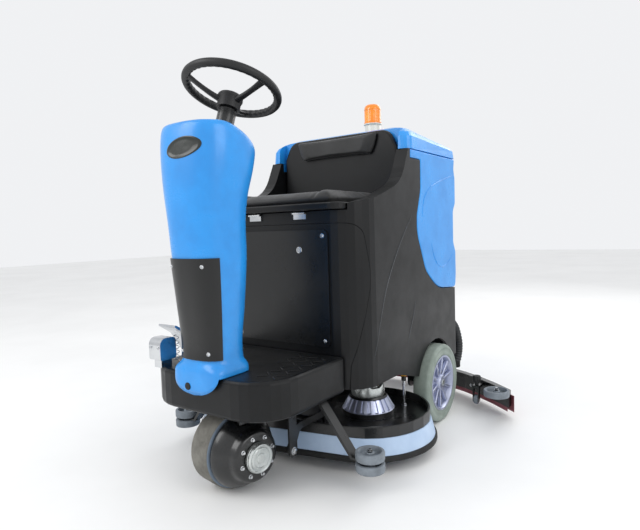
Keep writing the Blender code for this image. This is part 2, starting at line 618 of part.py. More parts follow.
def make_deck():
    arm_axis = pivot("deck_arm_axis", (0.0, *ARM_PIVOT))
    link = rounded([(-0.342, 0.093, 0.011), (-0.318, 0.093, 0.011), (-0.284, 0.155, 0.02),
                    (-0.118, 0.155, 0.010),
                    (-0.118, 0.176, 0.010), (-0.300, 0.176, 0.02), (-0.342, 0.118, 0.011)], 3)
    arm = prism("deck_arm", link, "X", ARM_X - 0.004, ARM_X + 0.004, "painted_steel", arm_axis)
    join(arm, prism("far_arm", link, "X", -ARM_X - 0.004, -ARM_X + 0.004))
    join(arm, disc("arm_tie", 0.009, "X", (0, -0.225, 0.1655), -ARM_X, ARM_X, steps=16))
    for side in (1, -1):
        inner = sorted((side * (ARM_X - 0.002), side * 0.139))
        outer = sorted((side * (ARM_X + 0.002), side * 0.168))
        join(arm, disc("deck_pin_%d" % side, 0.0055, "X", (0, *DECK_PIVOT), *inner, steps=16))
        join(arm, disc("arm_pin_%d" % side, 0.0060, "X", (0, *ARM_PIVOT), *outer, steps=16))
    deck_axis = pivot("deck_axis", (0.0, *DECK_PIVOT))
    plate = skin("deck_plate", [stadium(PLATE_RADIUS, 0.106), stadium(PLATE_RADIUS, DECK_TOP - 0.003),
                                stadium(PLATE_RADIUS - 0.003, DECK_TOP)], "painted_steel", deck_axis)
    cut(plate, skin("deck_recess", [stadium(0.2070, 0.116), stadium(0.2070, 0.160)]))
    for side in (1, -1):
        x, y, _ = disc_centre(side)
        cut(plate, disc("hub_hole_%d" % side, 0.036, "Z", (x, y, 0), 0.090, 0.130))
        lug = sorted((side * 0.140, side * 0.1475))
        shape = rounded([(-0.142, 0.112, 0.0), (-0.141, 0.176, 0.010), (-0.119, 0.176, 0.010),
                         (-0.118, 0.112, 0.0)])
        join(plate, prism("deck_lug_%d" % side, shape, "X", *lug))
    rod = [(0.0, 0.112), (0.004, 0.112), (0.004, 0.205), (0.008, 0.206), (0.008, 0.226), (0.010, 0.228),
           (0.010, 0.238), (0.0, 0.238)]
    join(plate, turned("level_rod", rod, "Z", (0.283, 0.168, 0), steps=12))
    cut(plate, disc("lug_bore", 0.0060, "X", (0, *DECK_PIVOT), -0.150, 0.150, steps=16))
    skirt = [stadium(0.2150, 0.1055), stadium(0.2290, 0.0540), stadium(0.2250, 0.0540),
             stadium(0.2110, 0.1055)]
    skin("deck_skirt", skirt, "pale_skirt", deck_axis, loop=True)
    lip = [stadium(0.2330, 0.0535), stadium(0.2360, 0.0365), stadium(0.2240, 0.0365), stadium(0.2250, 0.0535)]
    skin("deck_lip", lip, "black_rubber", deck_axis, loop=True)
    for side, word in ((1, "left"), (-1, "right")):
        make_disc_drive(word, disc_centre(side), deck_axis)


def make_disc_drive(word, centre, deck_axis):
    """A gear motor with a ribbed cone foot on the deck, and the brush that it turns below."""
    profile = [(0.0, 0.1165), (0.091, 0.1165), (0.091, 0.140), (0.066, 0.176), (0.063, 0.180), (0.059, 0.181),
               (0.057, 0.214), (0.052, 0.222), (0.030, 0.224), (0.022, 0.236), (0.0, 0.236)]
    turned("gear_motor_" + word, profile, "Z", centre, "cast_aluminium", deck_axis, steps=24)
    axis = pivot("brush_axis_" + word, centre)
    brush = [(0.0, 0.052), (0.090, 0.052), (0.096, 0.0370), (0.200, 0.0370), (0.193, 0.072),
             (0.186, 0.088), (0.040, 0.092), (0.028, 0.096), (0.028, 0.1135), (0.0, 0.1135)]
    turned("brush_" + word, brush, "Z", centre, "brush_fibre", axis, steps=28)


def squeegee_curve(x):
    return SQUEEGEE_Y - SQUEEGEE_BEND * x * x


def bowed_bar(name, offset, half_thick, low, high, half_length, finish, parent=None):
    """A bar of even section that follows the squeegee's bow in plan."""
    rings = []
    stations = 14
    for i in range(stations + 1):
        x = half_length * (2 * i / stations - 1)
        y = squeegee_curve(x) + offset
        rings.append([(x, y - half_thick, low), (x, y + half_thick, low), (x, y + half_thick, high),
                      (x, y - half_thick, high)])
    return skin(name, rings, finish, parent)


def make_squeegee():
    lift = pivot("squeegee_lift_axis", (0.0, *LIFT_PIVOT))
    swing = pivot("squeegee_swing_axis", (0.0, SWING_Y, 0.12))
    shape = rounded([(0.104, 0.222, 0.010), (0.128, 0.212, 0.010), (0.560, 0.150, 0.05),
                     (0.640, 0.1195, 0.05),
                     (0.757, 0.1195, 0.004), (0.757, 0.1395, 0.004), (0.655, 0.1395, 0.05),
                     (0.570, 0.172, 0.05), (0.128, 0.246, 0.010), (0.106, 0.244, 0.010)], 3)
    arm = prism("squeegee_arm", shape, "X", -0.0215, 0.0215, "painted_steel", lift)
    join(arm, disc("lift_pin", 0.008, "X", (0, *LIFT_PIVOT), -0.036, 0.036, steps=16))
    cut(arm, disc("swing_bore", 0.0085, "Z", (0, SWING_Y, 0), 0.08, 0.16, steps=20))
    beam = bowed_bar("squeegee_beam", 0.0, 0.0155, SQUEEGEE_LOW, SQUEEGEE_TOP, SQUEEGEE_HALF, "painted_steel",
                     swing)
    join(beam, prism("swing_foot", rounded([(-0.040, 0.708, 0.01), (0.040, 0.708, 0.01), (0.040, 0.790, 0.0),
                                           (-0.040, 0.790, 0.0)]), "Z", 0.100, 0.1180))
    join(beam, disc("swing_pin", 0.008, "Z", (0, SWING_Y, 0), 0.105, 0.146, steps=20))
    join(beam, disc("swing_nut", 0.014, "Z", (0, SWING_Y, 0), 0.1410, 0.151, steps=6))
    port = disc("suction_port", 0.026, "Z", (0, SQUEEGEE_Y + 0.008, 0), 0.100, 0.128, steps=20)
    join(beam, port)
    for side, word in ((1, "left"), (-1, "right")):
        x, y = side * END_ROLLER[0], END_ROLLER[1]
        ear = [(x - 0.016, y - 0.014), (x + 0.016, y - 0.014), (x + 0.030, y + 0.050), (x - 0.030, y + 0.095)]
        join(beam, prism("roller_ear_" + word, ear, "Z", 0.0880, 0.0940))
        join(beam, disc("roller_pin_" + word, 0.006, "Z", (x, y, 0), 0.090, 0.1290, steps=12))
        axis = pivot("squeegee_roller_axis_" + word, (x, y, 0))
        roller_body("squeegee_roller_" + word, (x, y, 0), 0.0980, 0.048, axis)
        make_support(word, side, beam)
    bowed_bar("squeegee_blade_front", -0.011, 0.002, BLADE_LOW + 0.002, SQUEEGEE_LOW - GAP, 0.545,
              "red_blade",
              swing)
    bowed_bar("squeegee_blade_rear", 0.019, 0.002, BLADE_LOW, 0.086, 0.568, "red_blade", swing)
    route = [(0, 0.798, 0.1286), *smooth_route([(0, 0.798, 0.140), (0, 0.802, 0.195), (0, 0.797, 0.270),
                                               (0, 0.760, 0.350), (0, 0.695, 0.396), (0, 0.640, 0.400)], 13),
             (0, 0.6290, 0.400)]
    tube("suction_hose", route, 0.024, "grey_rubber", swing)
    route = [(0.270, 0.6290, 0.340), *smooth_route([(0.270, 0.640, 0.340), (0.270, 0.668, 0.334),
                                                  (0.278, 0.694, 0.300), (0.286, 0.704, 0.240),
                                                  (0.286, 0.696, 0.190), (0.280, 0.676, 0.145)], 12)]
    tube("drain_hose", route, 0.019, "grey_rubber")


def make_support(word, side, beam):
    """The small wheel that sets the blade's height, on a bracket with a clamp knob on top."""
    x, y = side * SUPPORT[0], SUPPORT[1]
    hub = (x, y, 0.0365)
    join(beam, box("support_foot_" + word, (x - 0.0135, y - 0.010, 0.084), (x + 0.0135, y + 0.070, 0.096)))
    for shift in (-0.0130, 0.0095):
        join(beam, box("support_cheek_%s_%d" % (word, shift * 1e4), (x + shift, y - 0.009, 0.029),
                       (x + shift + 0.0035, y + 0.009, 0.088)))
    join(beam, disc("support_axle_" + word, 0.003, "X", hub, -0.0115, 0.0115, steps=10))
    axis = pivot("support_axis_" + word, hub)
    profile = [(0.0034, -0.008), (0.016, -0.008), (0.0185, -0.006), (0.0185, 0.006), (0.016, 0.008),
               (0.0034, 0.008)]
    turned("support_wheel_" + word, profile, "X", hub, "grey_rubber", axis, steps=20, loop=True)
    knob_axis = pivot("knob_axis_" + word, (x, y + 0.006, 0.1))
    profile = [(0.0, 0.0965), (0.008, 0.0965), (0.008, 0.108), (0.017, 0.110), (0.018, 0.128), (0.014, 0.136),
               (0.0, 0.136)]
    turned("squeegee_knob_" + word, profile, "Z", (x, y + 0.006, 0), "grip_plastic", knob_axis, steps=16)


def make_seat():
    """The seat pan on its front hinges, the pad on it, and the backrest between the side wings."""
    axis = pivot("seat_axis", (0.0, -0.1745, 0.812))
    plan = rounded([(-0.258, -0.193, 0.04), (0.258, -0.193, 0.04), (0.258, 0.190, 0.02),
                    (-0.258, 0.190, 0.02)], 5)
    pan = prism("seat_base", plan, "Z", SEAT_DECK + 0.0025, 0.8405, "black_plastic", axis)
    soften(pan, 0.004, 2, 60)
    plan = rounded([(-0.236, -0.186, 0.05), (0.236, -0.186, 0.05), (0.236, 0.176, 0.04),
                    (-0.236, 0.176, 0.04)], 5)
    pad = prism("seat_cushion", plan, "Z", 0.8410, 0.8860, "vinyl", axis)
    soften(pad, 0.014, 3, 60)
    for side, word in ((1, "left"), (-1, "right")):
        leaf = sorted((side * 0.070, side * 0.120))
        hinge = box("seat_hinge_" + word, (leaf[0], -0.1705, 0.792), (leaf[1], -0.1654, 0.812),
                    "bright_steel")
        join(hinge, disc("hinge_roll_" + word, 0.0045, "X", (0, -0.1745, 0.812), *leaf, steps=12))
    outline = rounded([(-0.257, SEAT_DECK + 0.001, 0.0), (0.257, SEAT_DECK + 0.001, 0.0),
                       (0.257, 1.045, 0.03),
                       (0.222, 1.114, 0.05), (-0.222, 1.114, 0.05), (-0.257, 1.045, 0.03)], 5)
    panel = prism("backrest_panel", outline, "Y", 0.2050, 0.2280, "black_plastic")
    soften(panel, 0.009, 2, 60)
    outline = rounded([(-0.164, 1.031, 0.012), (0.164, 1.031, 0.012), (0.196, 1.106, 0.012),
                       (-0.196, 1.106, 0.012)])
    head = prism("backrest_pad", outline, "Y", 0.1790, 0.2045, "vinyl")
    soften(head, 0.008, 2, 60)


def tank_profile():
    """The blue tank in side view: its lower edge stays 1 mm inside the black shell's edge."""
    inner = [(y + 0.0035, z + 0.002, r) for y, z, r in TANK_LINE[:-1]]
    front = WING_FRONT + 0.0155
    return rounded([(front, 1.0020, 0.0), *inner, (0.622, 0.4975, 0.02),
                    (0.630, 0.560, 0.02), (0.628, 0.650, 0.02), (0.606, 0.690, 0.02), (0.606, 0.815, 0.02),
                    (0.630, 0.850, 0.02), (0.630, 0.955, 0.02), (0.618, 0.990, 0.02),
                    (0.626, LID_SEAM - GAP, 0.0), (front, LID_SEAM - GAP, 0.0)], 3)


def make_tank():
    tank = prism("recovery_tank", tank_profile(), "X", -BODY_HALF, BODY_HALF, "blue_plastic")
    soften(tank, 0.008, 2, 60)
    cut(tank, box("backrest_notch", (-0.2705, 0.100, 0.990), (0.2705, 0.2300, 1.060)))
    hollow = rounded([(0.300, 1.060, 0.0), (0.298, 0.890, 0.10), (0.264, 0.740, 0.10), (0.332, 0.606, 0.08),
                      (0.440, 0.534, 0.10), (0.590, 0.525, 0.02), (0.590, 1.060, 0.0)], 4)
    cut(tank, prism("tank_hollow", hollow, "X", -0.270, 0.270))
    hinge_axis = pivot("lid_axis", (0.0, 0.634, LID_SEAM))
    rings = []
    for height, inset in ((0.0, 0.0), (0.046, 0.003), (0.062, 0.012), (0.078, 0.034), (0.091, 0.072),
                          (0.098, 0.110)):
        side = BODY_HALF + 0.002 - inset
        front = WING_FRONT - 0.002 + inset
        rear = 0.637 - inset
        corners = rounded([(-side, front, 0.030), (side, front, 0.030), (side, rear, 0.030),
                           (-side, rear, 0.030)])
        fall = [1 - 0.40 * max(0.0, (y - 0.33) / 0.30) ** 1.5 for _, y in corners]
        rings.append([(x, y, LID_SEAM + GAP + height * f) for (x, y), f in zip(corners, fall)])
    lid = skin("tank_lid", rings, "blue_plastic", hinge_axis)
    join(lid, disc("beacon_boss", 0.044, "Z", (0, BEACON_Y, 0), 1.080, 1.1235))
    cut(lid, box("lid_notch", (-0.2705, 0.100, 1.000), (0.2705, 0.2310, 1.200)))
    cut(lid, box("lid_hollow", (-0.262, 0.270, 1.000), (0.262, 0.600, 1.066)))
    base = [(0.0, 1.1239), (0.041, 1.1239), (0.041, 1.131), (0.034, 1.137), (0.034, 1.2005), (0.0, 1.2005)]
    turned("beacon_base", base, "Z", (0, BEACON_Y, 0), "clear_base", hinge_axis, steps=24)
    lens = [(0.0, 1.201), (0.037, 1.201), (0.037, 1.258), (0.034, 1.272), (0.026, 1.280), (0.0, 1.282)]
    turned("beacon_lens", lens, "Z", (0, BEACON_Y, 0), "amber", hinge_axis, steps=24)


def make_pedal():
    """The accelerator: a bright housing on a foot, with a sprung plate beside the column."""
    shape = rounded([(-0.545, 0.386, 0.006), (-0.487, 0.386, 0.006), (-0.487, 0.450, 0.012),
                     (-0.545, 0.452, 0.020)])
    housing = prism("pedal_box", shape, "X", -0.200, -0.148, "bright_steel")
    join(housing, box("pedal_foot", (-0.190, -0.535, FLOOR_TOP + GAP), (-0.158, -0.497, 0.400)))
    axis = pivot("pedal_axis", (-0.1675, -0.400, 0.374))
    outline = rounded([(-0.404, 0.368, 0.003), (-0.394, 0.374, 0.003), (-0.455, 0.460, 0.010),
                       (-0.500, 0.487, 0.003), (-0.504, 0.481, 0.003), (-0.460, 0.452, 0.010)], 3)
    prism("pedal_plate", outline, "X", -0.205, -0.130, "bright_steel", axis)


start_clean()
MACHINE = bpy.data.objects.new("machine", None)
bpy.context.scene.collection.objects.link(MACHINE)
MACHINE.location = (0.0, -LENGTH_MIDDLE, 0.0)
bpy.context.view_layer.update()
make_frame()
make_platform()
make_shells()
make_column()
make_access_plate()
make_dashboard()
make_steering_wheel()
make_pinion()
make_drive_unit()
make_rear_wheels()
make_rollers()
make_deck()
make_squeegee()
make_seat()
make_tank()
make_pedal()
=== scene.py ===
# %% [markdown]
# # A ride-on floor scrubber
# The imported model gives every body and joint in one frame. This lesson dresses it: it gives each
# part the finish of its real material, and it replaces the simple solids that need finer shapes.

# %% Load the frame
import math

import bmesh
import bpy
from mathutils import Matrix, Vector
from mathutils.bvhtree import BVHTree


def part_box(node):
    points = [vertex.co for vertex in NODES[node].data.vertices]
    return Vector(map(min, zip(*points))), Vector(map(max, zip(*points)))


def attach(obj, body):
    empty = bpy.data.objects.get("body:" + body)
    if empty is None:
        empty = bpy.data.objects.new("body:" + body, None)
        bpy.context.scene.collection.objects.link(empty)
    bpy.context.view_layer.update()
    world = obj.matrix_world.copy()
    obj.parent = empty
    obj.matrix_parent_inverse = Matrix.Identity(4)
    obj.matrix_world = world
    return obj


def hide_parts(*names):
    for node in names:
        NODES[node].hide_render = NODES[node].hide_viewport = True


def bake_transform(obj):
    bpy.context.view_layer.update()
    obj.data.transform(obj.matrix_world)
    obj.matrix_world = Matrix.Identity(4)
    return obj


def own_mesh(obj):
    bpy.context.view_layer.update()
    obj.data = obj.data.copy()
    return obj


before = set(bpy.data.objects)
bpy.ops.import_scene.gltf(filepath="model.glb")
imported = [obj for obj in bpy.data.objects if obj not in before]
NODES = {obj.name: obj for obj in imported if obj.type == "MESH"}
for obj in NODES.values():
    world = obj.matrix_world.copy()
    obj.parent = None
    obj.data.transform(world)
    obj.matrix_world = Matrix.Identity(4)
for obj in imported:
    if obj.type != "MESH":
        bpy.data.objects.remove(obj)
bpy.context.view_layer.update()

SCENE = bpy.context.scene
MM = 0.001

# %% [markdown]
# ## Small helpers
# Each piece is built in a bmesh, then turned into an object that rides on its body. A helper for
# places asks the frame where a part is, so that no place is typed twice.

# %% Places
REAR_AXLE = 0.390


def middle(node):
    low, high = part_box(node)
    return (low + high) / 2


SHIFT = middle("rear_rim_left").y - REAR_AXLE


def at(x, y, z):
    """A place given in the machine's own layout, as a place in the row frame."""
    return Vector((x, y + SHIFT, z))


def surface_of(piece):
    """A search tree over a piece's or a CAD node's surface, for rays."""
    mesh = piece.data
    return BVHTree.FromPolygons([v.co.copy() for v in mesh.vertices],
                                [tuple(p.vertices) for p in mesh.polygons])


def aimed(place, direction):
    """A matrix that puts local Z along a direction at a place."""
    way = Vector(direction).to_track_quat("Z", "Y").to_matrix().to_4x4()
    return Matrix.Translation(place) @ way


print("frame shift along Y", round(SHIFT, 5))

# %% Keeping a piece


def keep(name, bm, finish, body, node=(), sharp=35):
    """Turns a bmesh into a piece that rides on a body and may stand for CAD nodes."""
    bmesh.ops.recalc_face_normals(bm, faces=bm.faces)
    mesh = bpy.data.meshes.new(name)
    bm.to_mesh(mesh)
    bm.free()
    mesh.shade_smooth()
    mesh.set_sharp_from_angle(angle=math.radians(sharp))
    mesh.materials.append(finish)
    piece = bpy.data.objects.new(name, mesh)
    SCENE.collection.objects.link(piece)
    if body:
        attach(piece, body)
    if node:
        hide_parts(*([node] if isinstance(node, str) else node))
    return piece


# %% Rings and turned bodies


def ring_of(bm, matrix, radius, height, steps, shape):
    """One ring of points about local Z. shape(angle, radius, height) may change both measures."""
    ring = []
    for i in range(steps):
        angle = 2 * math.pi * i / steps
        r, h = shape(angle, radius, height) if shape else (radius, height)
        ring.append(bm.verts.new(matrix @ Vector((r * math.cos(angle), r * math.sin(angle), h))))
    return ring


def bridge(bm, rings, closed=False, capped=False):
    """Faces between rings of equal length. closed joins the last ring to the first."""
    pairs = list(zip(rings, rings[1:])) + ([(rings[-1], rings[0])] if closed else [])
    for ring, after in pairs:
        for i in range(len(ring)):
            j = (i + 1) % len(ring)
            bm.faces.new((ring[i], ring[j], after[j], after[i]))
    if capped:
        bm.faces.new(rings[0])
        bm.faces.new(rings[-1])


def lathe(bm, profile, matrix, steps=72, shape=None):
    """Turns (radius, height) points about local Z. A point on the axis closes the body there."""
    rings = []
    for radius, height in profile:
        if radius < 1e-6:
            rings.append([bm.verts.new(matrix @ Vector((0, 0, height)))])
        else:
            rings.append(ring_of(bm, matrix, radius, height, steps, shape))
    for ring, after in zip(rings, rings[1:]):
        for i in range(steps):
            j = (i + 1) % steps
            if len(ring) == 1 and len(after) == 1:
                continue
            if len(ring) == 1:
                bm.faces.new((ring[0], after[i], after[j]))
            elif len(after) == 1:
                bm.faces.new((ring[i], ring[j], after[0]))
            else:
                bm.faces.new((ring[i], ring[j], after[j], after[i]))
    for end in (rings[0], rings[-1]):
        if len(end) > 1:
            bm.faces.new(end)


def ring_lathe(bm, profile, matrix, steps=72, shape=None):
    """A turned body with a hole through it: its profile closes on itself."""
    bridge(bm, [ring_of(bm, matrix, r, h, steps, shape) for r, h in profile], closed=True)


# %% Blocks, bars and bolts


def block(bm, matrix, size, bevel, segments=3):
    """A box with rounded edges, centred on the matrix."""
    made = bmesh.ops.create_cube(bm, size=1.0, matrix=matrix @ Matrix.Diagonal((*size, 1.0)))
    edges = list({e for v in made["verts"] for e in v.link_edges})
    bmesh.ops.bevel(bm, geom=edges, offset=bevel, segments=segments, affect="EDGES", profile=0.5)


def pipe(bm, route, radius, steps=12, closed=False):
    """A round bar along a route. radius is a number or a function of the share of the route."""
    rings = []
    count = len(route)
    side = None
    for i, place in enumerate(route):
        before = route[i - 1] if i or closed else place
        after = route[(i + 1) % count] if i < count - 1 or closed else place
        along = (after - before).normalized()
        side = along.orthogonal() if side is None else side - along * side.dot(along)
        side.normalize()
        other = along.cross(side)
        wide = radius(i / (count - 1)) if callable(radius) else radius
        rings.append([bm.verts.new(place + (side * math.cos(a) + other * math.sin(a)) * wide)
                      for a in [2 * math.pi * k / steps for k in range(steps)]])
    bridge(bm, rings, closed, capped=not closed)


def curve_through(points, count):
    """Places at even steps along a smooth curve through the given points."""
    ends = [points[0], *points, points[-1]]
    route = []
    for i in range(count):
        place = (len(points) - 1) * i / (count - 1)
        span = min(int(place), len(points) - 2)
        t = place - span
        a, b, c, d = [Vector(p) for p in ends[span:span + 4]]
        route.append(0.5 * (2 * b + (c - a) * t + (2 * a - 5 * b + 4 * c - d) * t ** 2
                            + (3 * b - a - 3 * c + d) * t ** 3))
    return route


def bolt(bm, matrix, radius, height, head="hex"):
    """A bolt head on a washer: six-sided, or a round head with a socket."""
    lathe(bm, [(0, 0), (radius * 1.3, 0), (radius * 1.3, height * 0.18), (radius, height * 0.25)], matrix, 24)
    if head == "hex":
        lathe(bm, [(0, height * 0.2), (radius, height * 0.2), (radius, height * 0.88),
                   (radius * 0.85, height), (0, height)], matrix, 6)
    else:
        lathe(bm, [(0, height * 0.2), (radius, height * 0.2), (radius * 0.95, height * 0.7),
                   (radius * 0.7, height), (radius * 0.42, height), (radius * 0.40, height * 0.4),
                   (0, height * 0.4)], matrix, 24)


print("helpers ready")

# %% [markdown]
# ## Finishes
# Each finish starts from the real material and how its surface was made. A broad noise shifts the
# colour and the gloss a little, as wear and handling do. A fine pattern in millimetres gives the
# grain, as a moulding tool, a lathe or a spray gun leaves it.

# %% The finish maker


def linear(colour):
    channels = [int(colour[i:i + 2], 16) / 255 for i in (1, 3, 5)]
    return (*[c / 12.92 if c <= 0.04045 else ((c + 0.055) / 1.055) ** 2.4 for c in channels], 1.0)


def add(tree, kind, settings=None, links=None):
    """Adds a node, sets its properties and sockets, and links other nodes' outputs to its inputs."""
    node = tree.nodes.new(kind)
    for key, value in (settings or {}).items():
        if isinstance(key, str) and hasattr(node, key):
            setattr(node, key, value)
        else:
            node.inputs[key].default_value = value
    for key, (source, output) in (links or {}).items():
        tree.links.new(source.outputs[output], node.inputs[key])
    return node


FINISHES = {}


def finish(name, light, dark, rough, grain_mm, depth_mm, pattern="grain", stretch=(1, 1, 1), broad_mm=90.0,
           dust=0.0, **shader):
    """A Principled surface. rough is its lowest and highest roughness, grain_mm its pattern's size."""
    made = bpy.data.materials.new(name)
    made.use_nodes = True
    tree = made.node_tree
    tree.nodes.clear()
    out = add(tree, "ShaderNodeOutputMaterial")
    principled = add(tree, "ShaderNodeBsdfPrincipled")
    for socket, value in shader.items():
        principled.inputs[socket.replace("_", " ")].default_value = value
    place = add(tree, "ShaderNodeTexCoord")
    scaled = add(tree, "ShaderNodeMapping", {"Scale": stretch}, {"Vector": (place, "Object")})
    broad = add(tree, "ShaderNodeTexNoise", {"Scale": 1000 / broad_mm, "Detail": 5.0, "Roughness": 0.6},
                {"Vector": (place, "Object")})
    fine_scale = 1000 / grain_mm
    if pattern == "leather":
        fine = add(tree, "ShaderNodeTexVoronoi", {"feature": "SMOOTH_F1", "Scale": fine_scale},
                   {"Vector": (scaled, "Vector")})
        fine_out = (fine, "Distance")
    else:
        fine = add(tree, "ShaderNodeTexNoise", {"Scale": fine_scale, "Detail": 3.0, "Roughness": 0.55},
                   {"Vector": (scaled, "Vector")})
        fine_out = (fine, "Fac")
    spread = add(tree, "ShaderNodeMapRange", {"From Min": 0.35, "From Max": 0.65}, {"Value": (broad, "Fac")})
    colour = add(tree, "ShaderNodeMix", {"data_type": "RGBA", 6: linear(light), 7: linear(dark)},
                 {0: (spread, "Result")})
    colour_out = (colour, 2)
    if dust:
        facing = add(tree, "ShaderNodeNewGeometry")
        split = add(tree, "ShaderNodeSeparateXYZ", {}, {"Vector": (facing, "Normal")})
        upward = add(tree, "ShaderNodeMapRange", {"From Min": 0.5, "From Max": 1.0, "To Max": dust},
                     {"Value": (split, "Z")})
        specks = add(tree, "ShaderNodeMath", {"operation": "MULTIPLY"},
                     {0: (upward, "Result"), 1: (spread, "Result")})
        dusty = add(tree, "ShaderNodeMix", {"data_type": "RGBA", 7: linear("#9A9A94")},
                    {0: (specks, "Value"), 6: colour_out})
        colour_out = (dusty, 2)
    tree.links.new(colour_out[0].outputs[colour_out[1]], principled.inputs["Base Color"])
    mixed = add(tree, "ShaderNodeMath", {"operation": "MULTIPLY_ADD", 1: 0.6},
                {0: (spread, "Result")})
    tree.links.new(fine_out[0].outputs[fine_out[1]], mixed.inputs[2])
    gloss = add(tree, "ShaderNodeMapRange", {"From Min": 0.3, "From Max": 1.2, "To Min": rough[0],
                                             "To Max": rough[1]}, {"Value": (mixed, "Value")})
    tree.links.new(gloss.outputs["Result"], principled.inputs["Roughness"])
    bump = add(tree, "ShaderNodeBump", {"Strength": 0.5, "Distance": depth_mm * MM},
               {"Height": fine_out})
    tree.links.new(bump.outputs["Normal"], principled.inputs["Normal"])
    tree.links.new(principled.outputs["BSDF"], out.inputs["Surface"])
    FINISHES[name] = made
    return made


# %% [markdown]
# The shells are roto-moulded polyethylene. Black body parts come out of the mould with a fine
# orange-peel grain, and the blue ones are glossier because their tool is polished.

# %% Plastics
black_pe = finish("black_polyethylene", "#0F1012", "#0B0C0D", (0.28, 0.46), 1.1, 0.10, dust=0.02,
                  Specular_IOR_Level=0.3)
blue_pe = finish("blue_polyethylene", "#2595E6", "#2189D8", (0.24, 0.38), 1.6, 0.05, Coat_Weight=0.25,
                 Coat_Roughness=0.18)
grip_abs = finish("soft_grip_ABS", "#151618", "#101112", (0.42, 0.60), 0.9, 0.12)
# The crease finish is a lighter grey than the black body: a painted highlight along the moulded ridges.
painted_highlight_pe = finish("crease_painted_highlight", "#3A3E43", "#2E3236", (0.20, 0.30), 1.4, 0.03)
plate_abs = finish("panel_ABS", "#0E0F10", "#0A0B0C", (0.24, 0.38), 0.7, 0.05)
badge_abs = finish("badge_ABS", "#1A211B", "#141A16", (0.22, 0.34), 0.8, 0.02, Coat_Weight=0.3)
battery_pp = finish("battery_polypropylene", "#303338", "#26282C", (0.45, 0.6), 1.4, 0.12)
red_abs = finish("red_button_ABS", "#C4201C", "#AE1714", (0.25, 0.4), 1.0, 0.03)
amber_pc = finish("amber_polycarbonate", "#F8A021", "#EE8A12", (0.08, 0.2), 2.5, 0.05, Coat_Weight=0.6,
                  Transmission_Weight=0.35, Emission_Color=linear("#F08A10"), Emission_Strength=0.18)
clear_pc = finish("beacon_polycarbonate", "#E9E4D6", "#D9D2C0", (0.2, 0.35), 1.8, 0.03, Coat_Weight=0.3)
yellow_abs = finish("yellow_knob_ABS", "#E3A51F", "#CC8F14", (0.3, 0.45), 1.0, 0.05)

# %% [markdown]
# Steel parts are powder coated in satin black; the pedal and the bolts are plated, and the rims
# and gear motors are cast or turned aluminium, which keeps fine marks of the tool.

# %% Metals
black_steel = finish("powder_coated_steel", "#131415", "#0E0F10", (0.22, 0.40), 1.3, 0.08, Coat_Weight=0.35,
                     Coat_Roughness=0.15)
plated = finish("plated_steel", "#D2D4D6", "#B4B7BB", (0.14, 0.30), 3.0, 0.03, Metallic=1.0,
                stretch=(1, 1, 9))
cast_alu = finish("cast_aluminium", "#C3C8DC", "#A9AFC6", (0.26, 0.42), 1.2, 0.08, Metallic=0.85)
turned_alu = finish("turned_aluminium", "#D4D8D6", "#AEB4B4", (0.20, 0.36), 2.2, 0.05, Metallic=0.9,
                    stretch=(1, 1, 12))

# %% [markdown]
# Tyres are cast polyurethane, a grey that marks no floor. The deck's skirt is a pale rubber, the
# seat is coated fabric, and the squeegee blades are red gum rubber.

# %% Rubbers and fabric
rear_pu = finish("grey_polyurethane", "#939E96", "#7F8A82", (0.55, 0.75), 1.6, 0.15, broad_mm=60)
front_pu = finish("worn_polyurethane", "#77756E", "#5F5D57", (0.62, 0.85), 1.3, 0.22, broad_mm=40)
wall_pu = finish("sidewall_polyurethane", "#6E7C8C", "#5C6977", (0.5, 0.7), 1.5, 0.12)
roller_pu = finish("roller_polyurethane", "#808890", "#6B7279", (0.5, 0.72), 1.2, 0.12, broad_mm=30)
epdm = finish("EPDM_rubber", "#121313", "#0C0D0D", (0.55, 0.8), 1.0, 0.12)
skirt_pu = finish("pale_skirt_rubber", "#BACFE8", "#A9C0DC", (0.28, 0.46), 2.0, 0.08, broad_mm=120)
hose_pvc = finish("hose_PVC", "#2B2D30", "#222426", (0.4, 0.6), 1.2, 0.08)
vinyl = finish("seat_vinyl", "#141516", "#0F1010", (0.42, 0.60), 2.4, 0.30, pattern="leather",
               Sheen_Weight=0.15, Sheen_Roughness=0.5)
gum = finish("gum_rubber", "#96525C", "#7F434C", (0.4, 0.62), 1.4, 0.08)
nylon = finish("brush_nylon", "#3F5F92", "#2E4A78", (0.4, 0.7), 1.5, 0.1, stretch=(1, 1, 0.1))
print(len(FINISHES), "finishes")

# %% [markdown]
# A part whose solid is already right keeps its shape and takes a finish by its material slot.

# %% Finishes on the parts that stay
BY_SLOT = {
    "black_plastic": black_pe, "blue_plastic": blue_pe, "grip_plastic": grip_abs,
    "painted_steel": black_steel, "bright_steel": plated, "cast_aluminium": cast_alu,
    "grey_tyre": rear_pu, "front_tyre": front_pu,
    "grey_rubber": roller_pu, "black_rubber": epdm, "pale_skirt": skirt_pu, "vinyl": vinyl, "amber": amber_pc,
    "clear_base": clear_pc, "red_blade": gum, "brush_fibre": nylon, "red_button": red_abs,
    "battery_case": battery_pp,
}
for name, part in NODES.items():
    for held in part.material_slots:
        base = held.material.name.split(".")[0] if held.material else ""
        if base in BY_SLOT:
            held.material = BY_SLOT[base]
        else:
            print("no finish for", name, base)
for name, choice in (("access_plate", plate_abs), ("battery_door", plate_abs), ("drain_hose", hose_pvc)):
    NODES[name].material_slots[0].material = choice
print("dressed", len(NODES), "parts")

# %% [markdown]
# ## The seat and the head pad
# Both are foam under coated fabric. A closed form a little smaller than the pad is filled with
# pressure by the cloth solver until it swells against its cover. The sewn channels and the piping
# come after, because the remesh would wipe them out.

# %% Filling a pad


